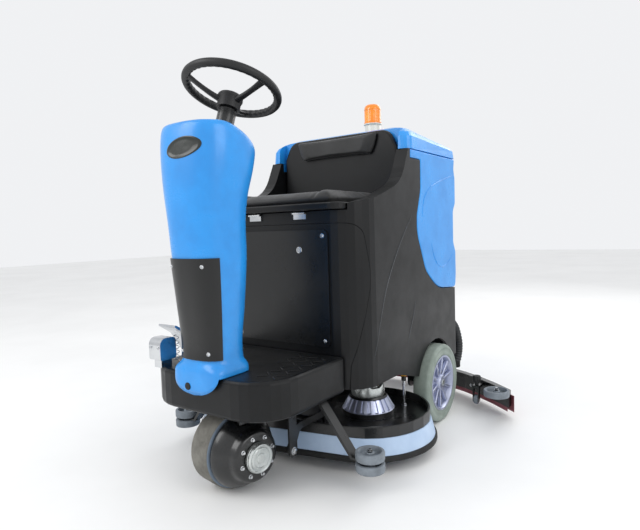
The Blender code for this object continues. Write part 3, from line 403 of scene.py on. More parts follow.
def fill(piece, voxel, pressure, most):
    """Swells a closed form like stuffed fabric, and stops each point after most metres."""
    remesh = piece.modifiers.new("even", "REMESH")
    remesh.mode = "VOXEL"
    remesh.voxel_size = voxel
    graph = bpy.context.evaluated_depsgraph_get()
    even = bpy.data.meshes.new_from_object(piece.evaluated_get(graph))
    piece.modifiers.clear()
    piece.data = even
    start = [v.co.copy() for v in even.vertices]
    cloth = piece.modifiers.new("filling", "CLOTH")
    cloth.settings.use_pressure = True
    cloth.settings.uniform_pressure_force = pressure
    cloth.settings.effector_weights.gravity = 0.0
    cloth.point_cache.frame_start, cloth.point_cache.frame_end = 1, 20
    for step in range(1, 21):
        SCENE.frame_set(step)
    graph = bpy.context.evaluated_depsgraph_get()
    swollen = [v.co.copy() for v in piece.evaluated_get(graph).data.vertices]
    piece.modifiers.clear()
    for vertex, before, after in zip(even.vertices, start, swollen):
        step = after - before
        vertex.co = before + (step.normalized() * most if step.length > most else step)
    SCENE.frame_set(1)


PAD_GRID = 40


def pad_form(low, high, corner, rise, across, along, up):
    """A crowned closed form inside a box. rise(u, v) from 0 to 1 gives its height at a place."""
    bm = bmesh.new()
    count = PAD_GRID
    tops, bottoms = [], []
    for i in range(count + 1):
        for j in range(count + 1):
            u, v = 2 * i / count - 1, 2 * j / count - 1
            pull = 1 - corner * (u * u) * (v * v)
            place = (low + high) / 2
            half = (high - low) / 2
            place[across] += u * half[across] * pull
            place[along] += v * half[along] * pull
            edge = max(0.0, 1 - max(abs(u), abs(v)) ** 10)
            over, under = place.copy(), place.copy()
            over[up] = low[up] + (high - low)[up] * (0.45 + 0.55 * edge * rise(u, v))
            under[up] = low[up] + (high - low)[up] * 0.15 * (1 - edge)
            tops.append(bm.verts.new(over))
            bottoms.append(bm.verts.new(under))
    step = count + 1
    for i in range(count):
        for j in range(count):
            a = i * step + j
            bm.faces.new((tops[a], tops[a + step], tops[a + step + 1], tops[a + 1]))
            bm.faces.new((bottoms[a], bottoms[a + 1], bottoms[a + step + 1], bottoms[a + step]))
    rim = ([i * step for i in range(step)] + [count * step + j for j in range(1, step)]
           + [i * step + count for i in range(count - 1, -1, -1)] + [j for j in range(count - 1, 0, -1)])
    for a, b in zip(rim, rim[1:] + rim[:1]):
        bm.faces.new((tops[a], tops[b], bottoms[b], bottoms[a]))
    return bm


def finish_pad(piece, low, high):
    """Keeps a filled pad inside its solid's box, and rounds it with one subdivision."""
    for vertex in piece.data.vertices:
        for k in range(3):
            vertex.co[k] = min(max(vertex.co[k], low[k]), high[k])
    piece.data.shade_smooth()
    soft = piece.modifiers.new("soft", "SUBSURF")
    soft.levels = soft.render_levels = 1


# %% [markdown]
# The seat pad has side bolsters that hold the driver, a dished middle, two long channels and two
# cross channels. The channels are pressed in after the filling, as a sewn seam pulls the foam.

# %% The seat cushion
CHANNEL_WIDE, CHANNEL_DEEP = 0.006, 0.005
cushion_low, cushion_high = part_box("seat_cushion")
SIDE_CHANNEL = 0.150
CROSS_CHANNELS = (-0.070, 0.030)


def seat_rise(u, v):
    """Side bolsters stand up, and the middle is dished towards the back."""
    bolster = 0.30 * min(1.0, max(0.0, (abs(u) - 0.62) / 0.22))
    return 0.70 + bolster - 0.06 * math.cos(math.pi * v / 2)


margin = Vector((0.006, 0.006, 0.0))
bm = pad_form(cushion_low + margin, cushion_high - margin - Vector((0, 0, 0.004)), 0.06, seat_rise, 0, 1, 2)
cushion = keep("seat_pad", bm, vinyl, "seat", "seat_cushion", 60)
fill(cushion, 0.006, 4.0, 0.006)
for vertex in cushion.data.vertices:
    p = vertex.co
    if p.z > cushion_low.z + 0.020:
        near_side = math.exp(-((abs(p.x) - SIDE_CHANNEL) / CHANNEL_WIDE) ** 2)
        inside = abs(p.x) < SIDE_CHANNEL
        across = max(math.exp(-((p.y - SHIFT - y) / CHANNEL_WIDE) ** 2) for y in CROSS_CHANNELS) * inside
        p.z -= CHANNEL_DEEP * max(near_side, across)
finish_pad(cushion, cushion_low, cushion_high)
print("seat pad", len(cushion.data.vertices), "points")

# %% [markdown]
# The head pad is a shallow wedge, narrower at its lower edge, and fuller in its middle.

# %% The head pad
head_low, head_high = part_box("backrest_pad")


def head_rise(u, v):
    return 0.75 + 0.25 * math.cos(math.pi * u / 2) * math.cos(math.pi * v / 2)


bm = pad_form(head_low, head_high, 0.03, head_rise, 0, 2, 1)
for vertex in bm.verts:
    share = (vertex.co.z - head_low.z) / (head_high.z - head_low.z)
    vertex.co.x *= 0.835 + 0.145 * share
    vertex.co.y = head_low.y + head_high.y - vertex.co.y
head_pad = keep("head_pad", bm, vinyl, "chassis", "backrest_pad", 60)
fill(head_pad, 0.004, 3.0, 0.004)
finish_pad(head_pad, head_low, head_high)
print("head pad", len(head_pad.data.vertices), "points")

# %% [markdown]
# A fine cord of thread lies in each channel. A ray from above finds the pad under every stitch, so
# that the cord follows the foam.

# %% Piping on the seat
cushion_tree = surface_of(cushion)


def on_cushion(x, y):
    hit = cushion_tree.ray_cast(Vector((x, y, cushion_high.z + 0.1)), Vector((0, 0, -1)))[0]
    return hit - Vector((0, 0, 0.0006)) if hit else None


bm = bmesh.new()
for side in (1, -1):
    places = [on_cushion(side * SIDE_CHANNEL, cushion_low.y + 0.022 + k * 0.008) for k in range(40)]
    pipe(bm, [p for p in places if p is not None], 0.0011, 8)
for y in CROSS_CHANNELS:
    places = [on_cushion(-SIDE_CHANNEL + k * 0.0075, y + SHIFT) for k in range(41)]
    pipe(bm, [p for p in places if p is not None], 0.0011, 8)
keep("seat_stitching", bm, epdm, "seat")
print("seat seams", 2 + len(CROSS_CHANNELS))

# %% [markdown]
# ## The steering wheel
# The rim is moulded ABS over a steel ring, with finger bumps on its inner side. Three spokes drop
# to the hub. A torus whose section swells with the angle gives the bumps in the mesh itself.

# %% The steering wheel
WHEEL_TILT = math.radians(19.7)
WHEEL_TURN = math.radians(26.0)
RIM, RIM_THICK, FINGERS = 0.137, 0.0125, 40
wheel_place = Matrix.Translation(at(0, -0.354, 1.1785)) @ Matrix.Rotation(-WHEEL_TILT, 4, "X")
bm = bmesh.new()
rim_steps = FINGERS * 6


def fingers(angle, radius, height):
    """Pushes the inner half of the rim's section in and out, finger by finger."""
    inner = max(0.0, (RIM - radius) / RIM_THICK)
    wave = 0.5 + 0.5 * math.cos(angle * FINGERS)
    return radius + 0.0028 * inner * (1 - wave), height


section = [(RIM + RIM_THICK * math.cos(a), RIM_THICK * math.sin(a))
           for a in [2 * math.pi * k / 16 for k in range(16)]]
ring_lathe(bm, section, wheel_place, rim_steps, fingers)
keep("wheel_rim", bm, grip_abs, "steering", "steering_wheel", 60)
bm = bmesh.new()
for turn in (90, 210, 330):
    way = math.radians(turn) + WHEEL_TURN
    out = Vector((math.cos(way), math.sin(way), 0))
    side = Vector((-out.y, out.x, 0))
    rings = []
    for k in range(13):
        t = k / 12
        centre = out * (0.018 + 0.116 * t) + Vector((0, 0, -0.041 + 0.040 * t ** 1.4))
        wide, thick = 0.0125 - 0.004 * math.sin(math.pi * t), 0.0085 - 0.0025 * t
        ring = []
        for j in range(16):
            a = 2 * math.pi * j / 16
            across = math.copysign(abs(math.cos(a)) ** 0.7, math.cos(a))
            ring.append(bm.verts.new(
                wheel_place @ (centre + side * wide * across + Vector((0, 0, thick * math.sin(a))))))
        rings.append(ring)
    bridge(bm, rings, capped=True)
lathe(bm, [(0, -0.064), (0.033, -0.064), (0.034, -0.060), (0.0345, -0.040), (0.038, -0.032), (0.0375, -0.024),
           (0.035, -0.0205), (0.026, -0.0195), (0.0245, -0.0215), (0.0235, -0.0195), (0, -0.0185)],
      wheel_place, 64)
keep("wheel_spokes_and_hub", bm, grip_abs, "steering", ())
bm = bmesh.new()
lathe(bm, [(0, -0.445), (0.012, -0.445), (0.012, -0.205), (0.020, -0.203), (0.0265, -0.199), (0.027, -0.196),
           (0.027, -0.070), (0.0262, -0.066), (0.024, -0.0648), (0, -0.0645)], wheel_place, 64)
keep("steering_collar", bm, black_steel, "steering", "steering_shaft")
print("finger bumps", FINGERS)

# %% [markdown]
# ## Wheels
# The rear rims are cast with ten ribs round a hub, and the tyres are cast on them. Ribs that rise
# out of a turned dish read as spokes from every side.

# %% Rear wheels
SPOKES = 10
for side, word in ((1, "left"), (-1, "right")):
    hub = middle("rear_rim_" + word)
    out = Vector((side, 0, 0))
    low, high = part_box("rear_rim_" + word)
    outer = high.x if side > 0 else low.x
    place = aimed(Vector((outer, hub.y, hub.z)), out)
    bm = bmesh.new()
    ring_lathe(bm, [(0.0128, -0.050), (0.094, -0.050), (0.1050, -0.058), (0.1052, -0.001), (0.103, 0.0),
                    (0.0985, -0.001), (0.0955, -0.006), (0.091, -0.019), (0.086, -0.0215), (0.042, -0.0225),
                    (0.033, -0.020), (0.030, -0.006), (0.027, -0.003), (0.0128, -0.003)], place, 120)
    for k in range(SPOKES):
        angle = 2 * math.pi * k / SPOKES + 0.2
        spoke = place @ Matrix.Rotation(angle, 4, "Z") @ Matrix.Translation((0.0610, 0, -0.0150))
        block(bm, spoke @ Matrix.Rotation(math.radians(-4), 4, "Y"), (0.068, 0.0120, 0.014), 0.0035)
    for k in range(5):
        angle = 2 * math.pi * (k + 0.5) / 5
        spot = place @ Matrix.Rotation(angle, 4, "Z") @ Matrix.Translation((0.022, 0, -0.0035))
        lathe(bm, [(0, 0), (0.0032, 0), (0.003, 0.0018), (0, 0.002)], spot, 16)
    keep("rear_rim_cast_" + word, bm, cast_alu, "rear_wheel_" + word, "rear_rim_" + word)
    bm = bmesh.new()
    lathe(bm, [(0, -0.006), (0.0122, -0.006), (0.0122, -0.0015), (0.010, 0.0), (0.006, -0.0008), (0, -0.001)],
          place, 40)
    keep("rear_hub_cap_" + word, bm, turned_alu, "rear_wheel_" + word)
    bm = bmesh.new()
    ring_lathe(bm, [(0.1056, -0.063), (0.134, -0.0635), (0.141, -0.062), (0.1465, -0.0585), (0.149, -0.053),
                    (0.149, -0.011), (0.1468, -0.0055), (0.142, -0.0015), (0.137, 0.0), (0.134, 0.0),
                    (0.1325, -0.0012), (0.1195, -0.0012), (0.118, 0.0), (0.110, -0.0005), (0.1056, -0.003)],
               place, 144)
    keep("rear_tyre_cast_" + word, bm, rear_pu, "rear_wheel_" + word, "rear_tyre_" + word, 50)
print("rear spokes", SPOKES)

# %% [markdown]
# The drive wheel turns on a fork with its motor in the hub. The motor's black bell carries eight
# bolts round a turned cap, and the bell has a flat where the fork's hanger holds it.

# %% The drive wheel
STEER = math.radians(-10.2)
DRIVE = 0.1165
steer_place = Matrix.Translation(at(0, -0.414, DRIVE)) @ Matrix.Rotation(STEER, 4, "Z")
drive_place = steer_place @ Matrix.Rotation(math.radians(90), 4, "Y")
bm = bmesh.new()
ring_lathe(bm, [(0.0782, -0.049), (0.104, -0.049), (0.110, -0.0482), (0.1145, -0.0455), (0.1165, -0.041),
                (0.1165, 0.028), (0.1145, 0.0325), (0.110, 0.0352), (0.104, 0.036), (0.0782, 0.036)],
           drive_place, 128)
keep("drive_tyre_cast", bm, front_pu, "drive_wheel", "drive_tyre", 50)
bm = bmesh.new()
ring_lathe(bm, [(0.0795, 0.0358), (0.0795, 0.0364), (0.1085, 0.0362), (0.1118, 0.0350), (0.1130, 0.0339),
                (0.1100, 0.0345)], drive_place, 128)
keep("drive_tyre_sidewall", bm, wall_pu, "drive_wheel")


def bell_flat(bm, top=0.0878):
    """Cuts the motor's bell level under the fork's hanger."""
    back = steer_place.inverted()
    for vertex in bm.verts:
        local = back @ vertex.co
        if abs(local.y) < 0.031 and 0.039 < local.x < 0.092 and local.z > top:
            local.z = top
            vertex.co = steer_place @ local


bm = bmesh.new()
lathe(bm, [(0, 0.0368), (0.104, 0.0368), (0.106, 0.039), (0.108, 0.046), (0.1075, 0.050), (0.1035, 0.060),
           (0.098, 0.069), (0.0925, 0.0775), (0.087, 0.084), (0.081, 0.0895), (0.0785, 0.094),
           (0.0765, 0.103), (0.0745, 0.1115), (0.071, 0.116), (0.066, 0.119), (0.061, 0.120),
           (0.047, 0.1195), (0, 0.1195)],
      drive_place, 128)
bell_flat(bm)
keep("drive_motor_bell", bm, black_steel, "fork", "drive_motor", 45)
bm = bmesh.new()
for k in range(8):
    angle = 2 * math.pi * (k + 0.35) / 8
    spot = drive_place @ Matrix.Rotation(angle, 4, "Z") @ Matrix.Translation((0.0560, 0, 0.1195))
    bolt(bm, spot, 0.0048, 0.0070)
keep("drive_motor_bolts", bm, plated, "fork")
bm = bmesh.new()
lathe(bm, [(0, 0.1204), (0.0415, 0.1204), (0.0436, 0.122), (0.0436, 0.129), (0.0425, 0.1305),
           (0.0425, 0.1345), (0.0400, 0.1385), (0.0375, 0.139), (0.0345, 0.1375), (0.0320, 0.1370),
           (0.0300, 0.1388), (0.0260, 0.1388), (0.0245, 0.1372), (0.0150, 0.1365), (0.0140, 0.1385),
           (0.0060, 0.1390), (0, 0.1385)],
      drive_place, 96)
keep("motor_cap_turned", bm, turned_alu, "fork", "motor_cap", 30)
print("drive wheel radius", DRIVE)

# %% [markdown]
# ## The brush deck
# Two gear motors stand on the deck. Each has a ribbed aluminium foot, a black ring, and a bright
# crown with lobes. The brushes are nylon bristles set in a block, and each tuft is its own prism.

# %% Gear motors
LOBES = 6
for side, word in ((1, "left"), (-1, "right")):
    centre = middle("gear_motor_" + word)
    place = Matrix.Translation(Vector((centre.x, centre.y, 0)))

    def ribs(angle, radius, height):
        """Square ribs down the cone, which shallow out at its ends."""
        if not 0.139 < height < 0.175:
            return radius, height
        return (radius if math.cos(angle * 22) > -0.1 else radius - 0.0055), height

    bm = bmesh.new()
    lathe(bm, [(0, 0.1168), (0.0905, 0.1168), (0.091, 0.118), (0.091, 0.1365), (0.0895, 0.1380),
               (0.0885, 0.1395), (0.0685, 0.1745), (0.0680, 0.1755), (0, 0.1760)], place, 264, ribs)
    keep("gear_motor_foot_" + word, bm, cast_alu, "deck", "gear_motor_" + word, 25)
    bm = bmesh.new()
    lathe(bm, [(0, 0.1750), (0.0655, 0.1750), (0.0665, 0.1775), (0.0640, 0.1812), (0.0560, 0.1822),
               (0, 0.1822)], place, 96)
    ring_lathe(bm, [(0.0912, 0.1180), (0.0925, 0.1180), (0.0925, 0.1360), (0.0912, 0.1360)], place, 96)
    keep("gear_motor_ring_" + word, bm, black_steel, "deck")

    def lobed(angle, radius, height):
        """The crown's upper edge rises into lobes that lean out a little."""
        lift = max(0.0, math.cos(angle * LOBES)) ** 2
        share = max(0.0, (height - 0.200) / 0.012)
        return radius + 0.0045 * lift * share, height + 0.012 * lift * share

    bm = bmesh.new()
    ring_lathe(bm, [(0.0500, 0.1818), (0.0560, 0.1818), (0.0578, 0.1850), (0.0585, 0.2000), (0.0560, 0.2120),
                    (0.0525, 0.2120), (0.0520, 0.2000)], place, 120, lobed)
    lathe(bm, [(0, 0.1818), (0.0490, 0.1818), (0.0485, 0.196), (0.0300, 0.2240), (0.0225, 0.2260),
               (0.0220, 0.2350), (0, 0.2358)], place, 24,
          lambda a, r, h: (r if math.cos(a * 12) > 0 else r * 0.93, h))
    keep("gear_motor_crown_" + word, bm, turned_alu, "deck", (), 20)

# %% [markdown]
# Each disc brush is a moulded block with tufts of nylon in seven rings. A real tuft is a bundle of
# dozens of thin filaments. Each is drawn here, coarser than real, as one four-sided prism that
# widens to its tip, so that a whole brush stays light.

# %% Brushes
for side, word in ((1, "left"), (-1, "right")):
    centre = middle("brush_" + word)
    place = Matrix.Translation(Vector((centre.x, centre.y, 0)))
    bm = bmesh.new()
    lathe(bm, [(0, 0.070), (0.190, 0.070), (0.1925, 0.0725), (0.1860, 0.0875), (0.060, 0.0905),
               (0.040, 0.092), (0.028, 0.096), (0.028, 0.1130), (0, 0.1135)], place, 96)
    keep("brush_block_" + word, bm, black_pe, "brush_" + word, "brush_" + word)
    bm = bmesh.new()
    tufts = 0
    for ring in range(7):
        radius = 0.104 + 0.0130 * ring
        count = int(2 * math.pi * radius / 0.0085)
        for k in range(count):
            angle = 2 * math.pi * (k + 0.5 * (ring % 2)) / count
            lean = 0.003 * math.sin(7.3 * k + ring)
            top = Vector((radius * math.cos(angle), radius * math.sin(angle), 0.0712))
            reach = radius + 0.012 * (ring / 6)
            foot = Vector((reach * math.cos(angle + lean), reach * math.sin(angle + lean), 0.0372))
            rings = [[bm.verts.new(place @ (p + Vector((w * math.cos(a), w * math.sin(a), 0))))
                      for a in (0.0, 1.57, 3.14, 4.71)] for p, w in ((top, 0.0016), (foot, 0.0030))]
            bridge(bm, rings, capped=True)
            tufts += 1
    keep("brush_tufts_" + word, bm, nylon, "brush_" + word)
    print("tufts", tufts)

# %% [markdown]
# The deck's pressing, skirt and lip all follow one outline: two half rounds joined by straight
# sides, turned by the deck's skew. A finer outline than the solid's gives clean round ends.

# %% Deck plate, skirt and lip
DECK_SKEW = math.radians(12.0)
DISC_HALF = 0.2105


def outline(radius, height):
    turn = Matrix.Rotation(DECK_SKEW, 3, "Z")
    ring = []
    for side, start in ((1, -90), (-1, 90)):
        for i in range(49):
            angle = math.radians(start + 180 * i / 48)
            flat = Vector((side * DISC_HALF + radius * math.cos(angle), radius * math.sin(angle), height))
            ring.append(turn @ flat + Vector((0, SHIFT, 0)))
    return ring


def band(bm, sections):
    """A moulding that follows the deck's outline, from its own (radius, height) section."""
    bridge(bm, [[bm.verts.new(p) for p in outline(r, h)] for r, h in sections], closed=True)


bm = bmesh.new()
band(bm, [(0.2112, 0.1053), (0.2152, 0.1053), (0.2180, 0.098), (0.2255, 0.068), (0.2288, 0.0542),
          (0.2250, 0.0542), (0.2150, 0.095)])
keep("skirt_moulded", bm, skirt_pu, "deck", "deck_skirt", 50)
bm = bmesh.new()
band(bm, [(0.2252, 0.0534), (0.2330, 0.0534), (0.2348, 0.0510), (0.2358, 0.0400), (0.2350, 0.0366),
          (0.2242, 0.0366)])
keep("lip_moulded", bm, epdm, "deck", "deck_lip", 50)
bm = bmesh.new()
pipe(bm, outline(0.2110, 0.1395), 0.0018, 10, closed=True)
keep("deck_plate_bead", bm, black_steel, "deck")
bm = bmesh.new()
rod = Matrix.Translation(at(0.283, 0.168, 0))
lathe(bm, [(0.0, 0.2062), (0.0096, 0.2062), (0.0100, 0.208), (0.0100, 0.2215), (0.0090, 0.2235), (0, 0.2235)],
      rod, 6)
keep("level_rod_nut", bm, grip_abs, "deck")
bm = bmesh.new()
lathe(bm, [(0.0, 0.2240), (0.0110, 0.2240), (0.0120, 0.2265), (0.0120, 0.2345), (0.0100, 0.2382),
           (0, 0.2390)],
      rod, 48, lambda a, r, h: (r - 0.0008 * (math.cos(a * 12) > 0), h))
keep("level_rod_knob", bm, yellow_abs, "deck")
bm = bmesh.new()
lathe(bm, [(0, 0.1185), (0.0056, 0.1185), (0.0056, 0.2060), (0, 0.2060)], rod, 24)
bolt(bm, Matrix.Translation(at(0.283, 0.168, 0.1160)), 0.0085, 0.007)
keep("level_rod_bolt", bm, plated, "deck")
print("outline points", len(outline(0.2, 0)))

# %% [markdown]
# ## Rollers and small wheels
# Wall rollers are polyurethane rings on a flat web with a bolt through the hub. They are turned
# from one profile, sized from each roller's own box.

# %% Rollers
ROLLERS = [("bumper_roller_%s_%s" % (level, word), "bumper_%s_%s" % (level, word))
           for level in ("upper", "lower") for word in ("left", "right")]
ROLLERS += [("squeegee_roller_" + word, "squeegee_roller_" + word) for word in ("left", "right")]
for node, body in ROLLERS:
    low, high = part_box(node)
    centre = middle(node)
    radius = (high.x - low.x) / 2
    place = Matrix.Translation(Vector((centre.x, centre.y, low.z)))
    tall = high.z - low.z
    bm = bmesh.new()
    ring_lathe(bm, [(0.0064, 0.0), (radius - 0.004, 0.0), (radius - 0.001, 0.0012), (radius, 0.004),
                    (radius, tall - 0.004), (radius - 0.0012, tall - 0.0012), (radius - 0.004, tall),
                    (radius - 0.0085, tall), (radius - 0.0100, tall - 0.0020), (radius - 0.0115, 0.0115),
                    (radius - 0.014, 0.0100), (0.016, 0.0100), (0.0135, 0.0115), (0.0128, tall - 0.005),
                    (0.0115, tall - 0.004), (0.0064, tall - 0.004)], place, 80)
    keep(node + "_turned", bm, roller_pu, body, node, 40)
for side, word in ((1, "left"), (-1, "right")):
    bm = bmesh.new()
    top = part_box("bumper_roller_upper_" + word)[1].z
    centre = middle("bumper_roller_upper_" + word)
    bolt(bm, Matrix.Translation(Vector((centre.x, centre.y, top - 0.0012))), 0.0062, 0.0060)
    keep("bumper_bolt_" + word, bm, plated, "chassis")
    bm = bmesh.new()
    centre = middle("squeegee_roller_" + word)
    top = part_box("squeegee_roller_" + word)[1].z
    bolt(bm, Matrix.Translation(Vector((centre.x, centre.y, top + 0.0008))), 0.0062, 0.0070)
    keep("squeegee_roller_bolt_" + word, bm, plated, "squeegee")
    low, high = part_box("squeegee_knob_" + word)
    centre = middle("squeegee_knob_" + word)
    place = Matrix.Translation(Vector((centre.x, centre.y, low.z)))
    tall = high.z - low.z
    bm = bmesh.new()
    lathe(bm, [(0, 0), (0.008, 0), (0.008, 0.0115), (0.0165, 0.0135), (0.018, 0.0165), (0.018, 0.031),
               (0.0150, tall - 0.001), (0.0075, tall), (0.0065, tall - 0.0015),
               (0, tall - 0.0015)], place, 96,
          lambda a, r, h: (r - 0.0016 * (0.5 + 0.5 * math.cos(a * 10)) * (r > 0.012), h))
    keep("squeegee_knob_knurled_" + word, bm, grip_abs, "squeegee_knob_" + word, "squeegee_knob_" + word)
    centre = middle("support_wheel_" + word)
    bm = bmesh.new()
    ring_lathe(bm, [(0.0034, -0.008), (0.0155, -0.008), (0.0175, -0.0068), (0.0185, -0.0045),
                    (0.0185, 0.0045),
                    (0.0175, 0.0068), (0.0155, 0.008), (0.0120, 0.008), (0.0110, 0.0066), (0.0070, 0.0066),
                    (0.0062, 0.008), (0.0034, 0.008)], aimed(centre, (1, 0, 0)), 64)
    keep("support_wheel_turned_" + word, bm, roller_pu, "support_wheel_" + word, "support_wheel_" + word)
print("rollers", len(ROLLERS))

# %% [markdown]
# ## Hoses
# Suction and drain hoses are PVC with a helical rib. Both ends are held, so they follow their own
# bends. A route with a ripple of the rib's pitch gives the ridges.

# %% Hoses


def ribbed_hose(name, points, radius, material, body, node, pitch=0.0085):
    length = sum((Vector(b) - Vector(a)).length for a, b in zip(points, points[1:]))
    turns = max(4, int(length / pitch))
    route = curve_through(points, turns * 6 + 1)
    bm = bmesh.new()
    pipe(bm, route, lambda t: radius - 0.0011 + 0.0011 * math.cos(2 * math.pi * turns * t), 32)
    piece = keep(name, bm, material, body, node, 50)
    print(name, "length", round(length, 3), "ribs", turns)
    return piece


UPPER = ((0.802, 0.195), (0.797, 0.270), (0.760, 0.350), (0.695, 0.396), (0.650, 0.400), (0.6292, 0.400))
LOWER = ((0.798, 0.1288), (0.798, 0.150), (0.802, 0.195))
upper = ribbed_hose("suction_hose_upper", [at(0, *p) for p in UPPER], 0.024, hose_pvc, None, "suction_hose")
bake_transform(upper)
lower = ribbed_hose("suction_hose_lower", [at(0, *p) for p in LOWER], 0.024, hose_pvc, None, "suction_hose")
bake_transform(lower)
bm = bmesh.new()
ring_lathe(bm, [(0.0238, -0.016), (0.0262, -0.016), (0.0270, -0.013), (0.0270, 0.013), (0.0262, 0.016),
                (0.0238, 0.016)], Matrix.Translation(at(0, 0.802, 0.195)), 64)
keep("suction_hose_joiner", bm, epdm, "squeegee_arm")
ribbed_hose("drain_hose_ribbed", [at(*p) for p in (
    (0.270, 0.6292, 0.340), (0.270, 0.645, 0.340), (0.270, 0.668, 0.334), (0.278, 0.694, 0.300),
    (0.286, 0.704, 0.240), (0.286, 0.696, 0.190), (0.280, 0.676, 0.145))], 0.019, hose_pvc, "chassis",
    "drain_hose")
bm = bmesh.new()
for x, z, radius in ((0.0, 0.400, 0.0262), (0.270, 0.340, 0.0212)):
    place = aimed(at(x, 0.6288, z), (0, 1, 0))
    ring_lathe(bm, [(radius - 0.001, 0.0), (radius + 0.004, 0.0), (radius + 0.004, 0.007),
                    (radius + 0.002, 0.010), (radius - 0.001, 0.010)], place, 48)
keep("hose_collars", bm, grip_abs, "chassis")
bm = bmesh.new()
ring_lathe(bm, [(0.0192, 0), (0.0222, 0), (0.0222, 0.018), (0.0192, 0.018)],
           Matrix.Translation(at(0.280, 0.676, 0.143)), 48)
lathe(bm, [(0, -0.004), (0.021, -0.004), (0.0225, -0.002), (0.0225, 0.001), (0, 0.001)],
      Matrix.Translation(at(0.280, 0.676, 0.142)), 48)
keep("drain_hose_cap", bm, epdm, "chassis")

# %% [markdown]
# ## The beacon
# The lens is amber polycarbonate with upright flutes that spread the light, on a pale stem.

# %% The beacon
beacon = middle("beacon_lens")
low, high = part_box("beacon_lens")
place = Matrix.Translation(Vector((beacon.x, beacon.y, 0)))
bm = bmesh.new()
lathe(bm, [(0, 1.2012), (0.0365, 1.2012), (0.037, 1.2030), (0.037, 1.2065), (0.0350, 1.2080),
           (0.0348, 1.2570),
           (0.0362, 1.2585), (0.0355, 1.2640), (0.0330, 1.2720), (0.0290, 1.2775), (0.0230, 1.2805),
           (0.0120, 1.2817), (0, 1.2819)], place, 144,
      lambda a, r, h: (r - 0.0011 * (0.5 + 0.5 * math.cos(a * 36)) * (1.208 < h < 1.258), h))
keep("beacon_lens_fluted", bm, amber_pc, "lid", "beacon_lens", 30)
bm = bmesh.new()
ring_lathe(bm, [(0.0342, 1.1962), (0.0385, 1.1962), (0.0385, 1.2008), (0.0342, 1.2008)], place, 64)
for k in range(3):
    angle = 2 * math.pi * k / 3 + 0.4
    spot = place @ Matrix.Rotation(angle, 4, "Z") @ Matrix.Translation((0.0375, 0, 1.1310))
    bolt(bm, spot, 0.0022, 0.0025, "socket")
keep("beacon_collar", bm, clear_pc, "lid")
bm = bmesh.new()
lathe(bm, [(0, 1.1241), (0.0405, 1.1241), (0.041, 1.1250), (0.041, 1.1290), (0.0400, 1.1310),
           (0.0360, 1.1330), (0.0345, 1.1370), (0.0336, 1.1450), (0.0336, 1.1990), (0.0330, 1.2003),
           (0, 1.2005)], place, 96)
keep("beacon_stem", bm, clear_pc, "lid", "beacon_base")
print("beacon top", round(high.z, 4))

# %% [markdown]
# ## The column
# The column is one blue moulding with soft sections that swell towards the panel and spread into a
# foot with a round tongue. Sections are blended by height, so the skin has no flat facets.

# %% The column cover
FLOOR_TOP = 0.362
SECTIONS = ((0.290, 0.095, -0.5540, -0.412), (0.374, 0.095, -0.5540, -0.412), (0.402, 0.085, -0.5470, -0.406),
            (0.450, 0.083, -0.5440, -0.405), (0.560, 0.090, -0.5530, -0.391), (0.690, 0.098, -0.5650, -0.380),
            (0.790, 0.101, -0.5725, -0.380), (0.860, 0.109, -0.5765, -0.373), (0.930, 0.118, -0.5780, -0.353),
            (0.985, 0.122, -0.5770, -0.341), (1.030, 0.121, -0.5740, -0.336), (1.070, 0.117, -0.5680, -0.337))
AROUND = 140


def slope(k):
    before, after = SECTIONS[max(0, k - 1)], SECTIONS[min(len(SECTIONS) - 1, k + 1)]
    return [(q - p) / (after[0] - before[0]) for p, q in zip(before, after)]


def section_at(height):
    """Half width, front and rear of the column at a height, blended between its sections."""
    height = min(max(height, SECTIONS[0][0]), SECTIONS[-1][0])
    k = max(i for i in range(len(SECTIONS) - 1) if SECTIONS[i][0] <= height)
    a, b, leave, reach = SECTIONS[k], SECTIONS[k + 1], slope(k), slope(k + 1)
    span = b[0] - a[0]
    t = (height - a[0]) / span
    return [a[i] * (2 * t ** 3 - 3 * t * t + 1) + b[i] * (3 * t * t - 2 * t ** 3)
            + span * (leave[i] * (t ** 3 - 2 * t * t + t) + reach[i] * (t ** 3 - t * t)) for i in (1, 2, 3)]


def column_skin(angle, height, inset=0.0):
    spread = max(0.0, min(1.0, (0.402 - height) / 0.028))
    power = 2.7 + 2.8 * spread * spread * (3 - 2 * spread)
    half, front, rear = section_at(height)
    x, y = math.cos(angle), math.sin(angle)
    return at((half - inset) * math.copysign(abs(x) ** (2 / power), x),
              (front + rear) / 2
              + ((rear - front) / 2 - inset) * math.copysign(abs(y) ** (2 / power), y), height)


bm = bmesh.new()
levels = [0.374 + 0.0056 * k for k in range(6)] + [0.412 + 0.518 * k / 37 for k in range(38)]
columns = []
for i in range(AROUND):
    angle = 2 * math.pi * i / AROUND
    near = column_skin(angle, FLOOR_TOP)
    across = near.x / 0.0880
    tongue = math.sqrt(max(0.0, 1.0 - across * across)) if angle > math.pi else 0.0
    low = FLOOR_TOP + 0.0012 - 0.052 * tongue
    top = 1.055 - 0.085 * max(0.0, (column_skin(angle, 1.02).y - SHIFT + 0.520) / 0.180) ** 1.7
    ring = [column_skin(angle, low + (levels[0] - low) * k / 4) for k in range(4)]
    ring += [column_skin(angle, height) for height in levels]
    for k in range(1, 13):
        share = k / 12
        ring.append(column_skin(angle, levels[-1] + (top - levels[-1]) * math.sin(share * math.pi / 2),
                                0.013 * share ** 7))
    columns.append([bm.verts.new(p) for p in ring])
for here, after in zip(columns, columns[1:] + columns[:1]):
    for k in range(len(here) - 1):
        bm.faces.new((here[k], after[k], after[k + 1], here[k + 1]))
column_piece = keep("column_moulding", bm, blue_pe, "chassis", "column_cover", 60)
wall = column_piece.modifiers.new("wall", "SOLIDIFY")
wall.thickness = 0.004
wall.offset = -1.0
bm = bmesh.new()
PLATE_REACH = 2 * math.pi * 5 / 28
rows = []
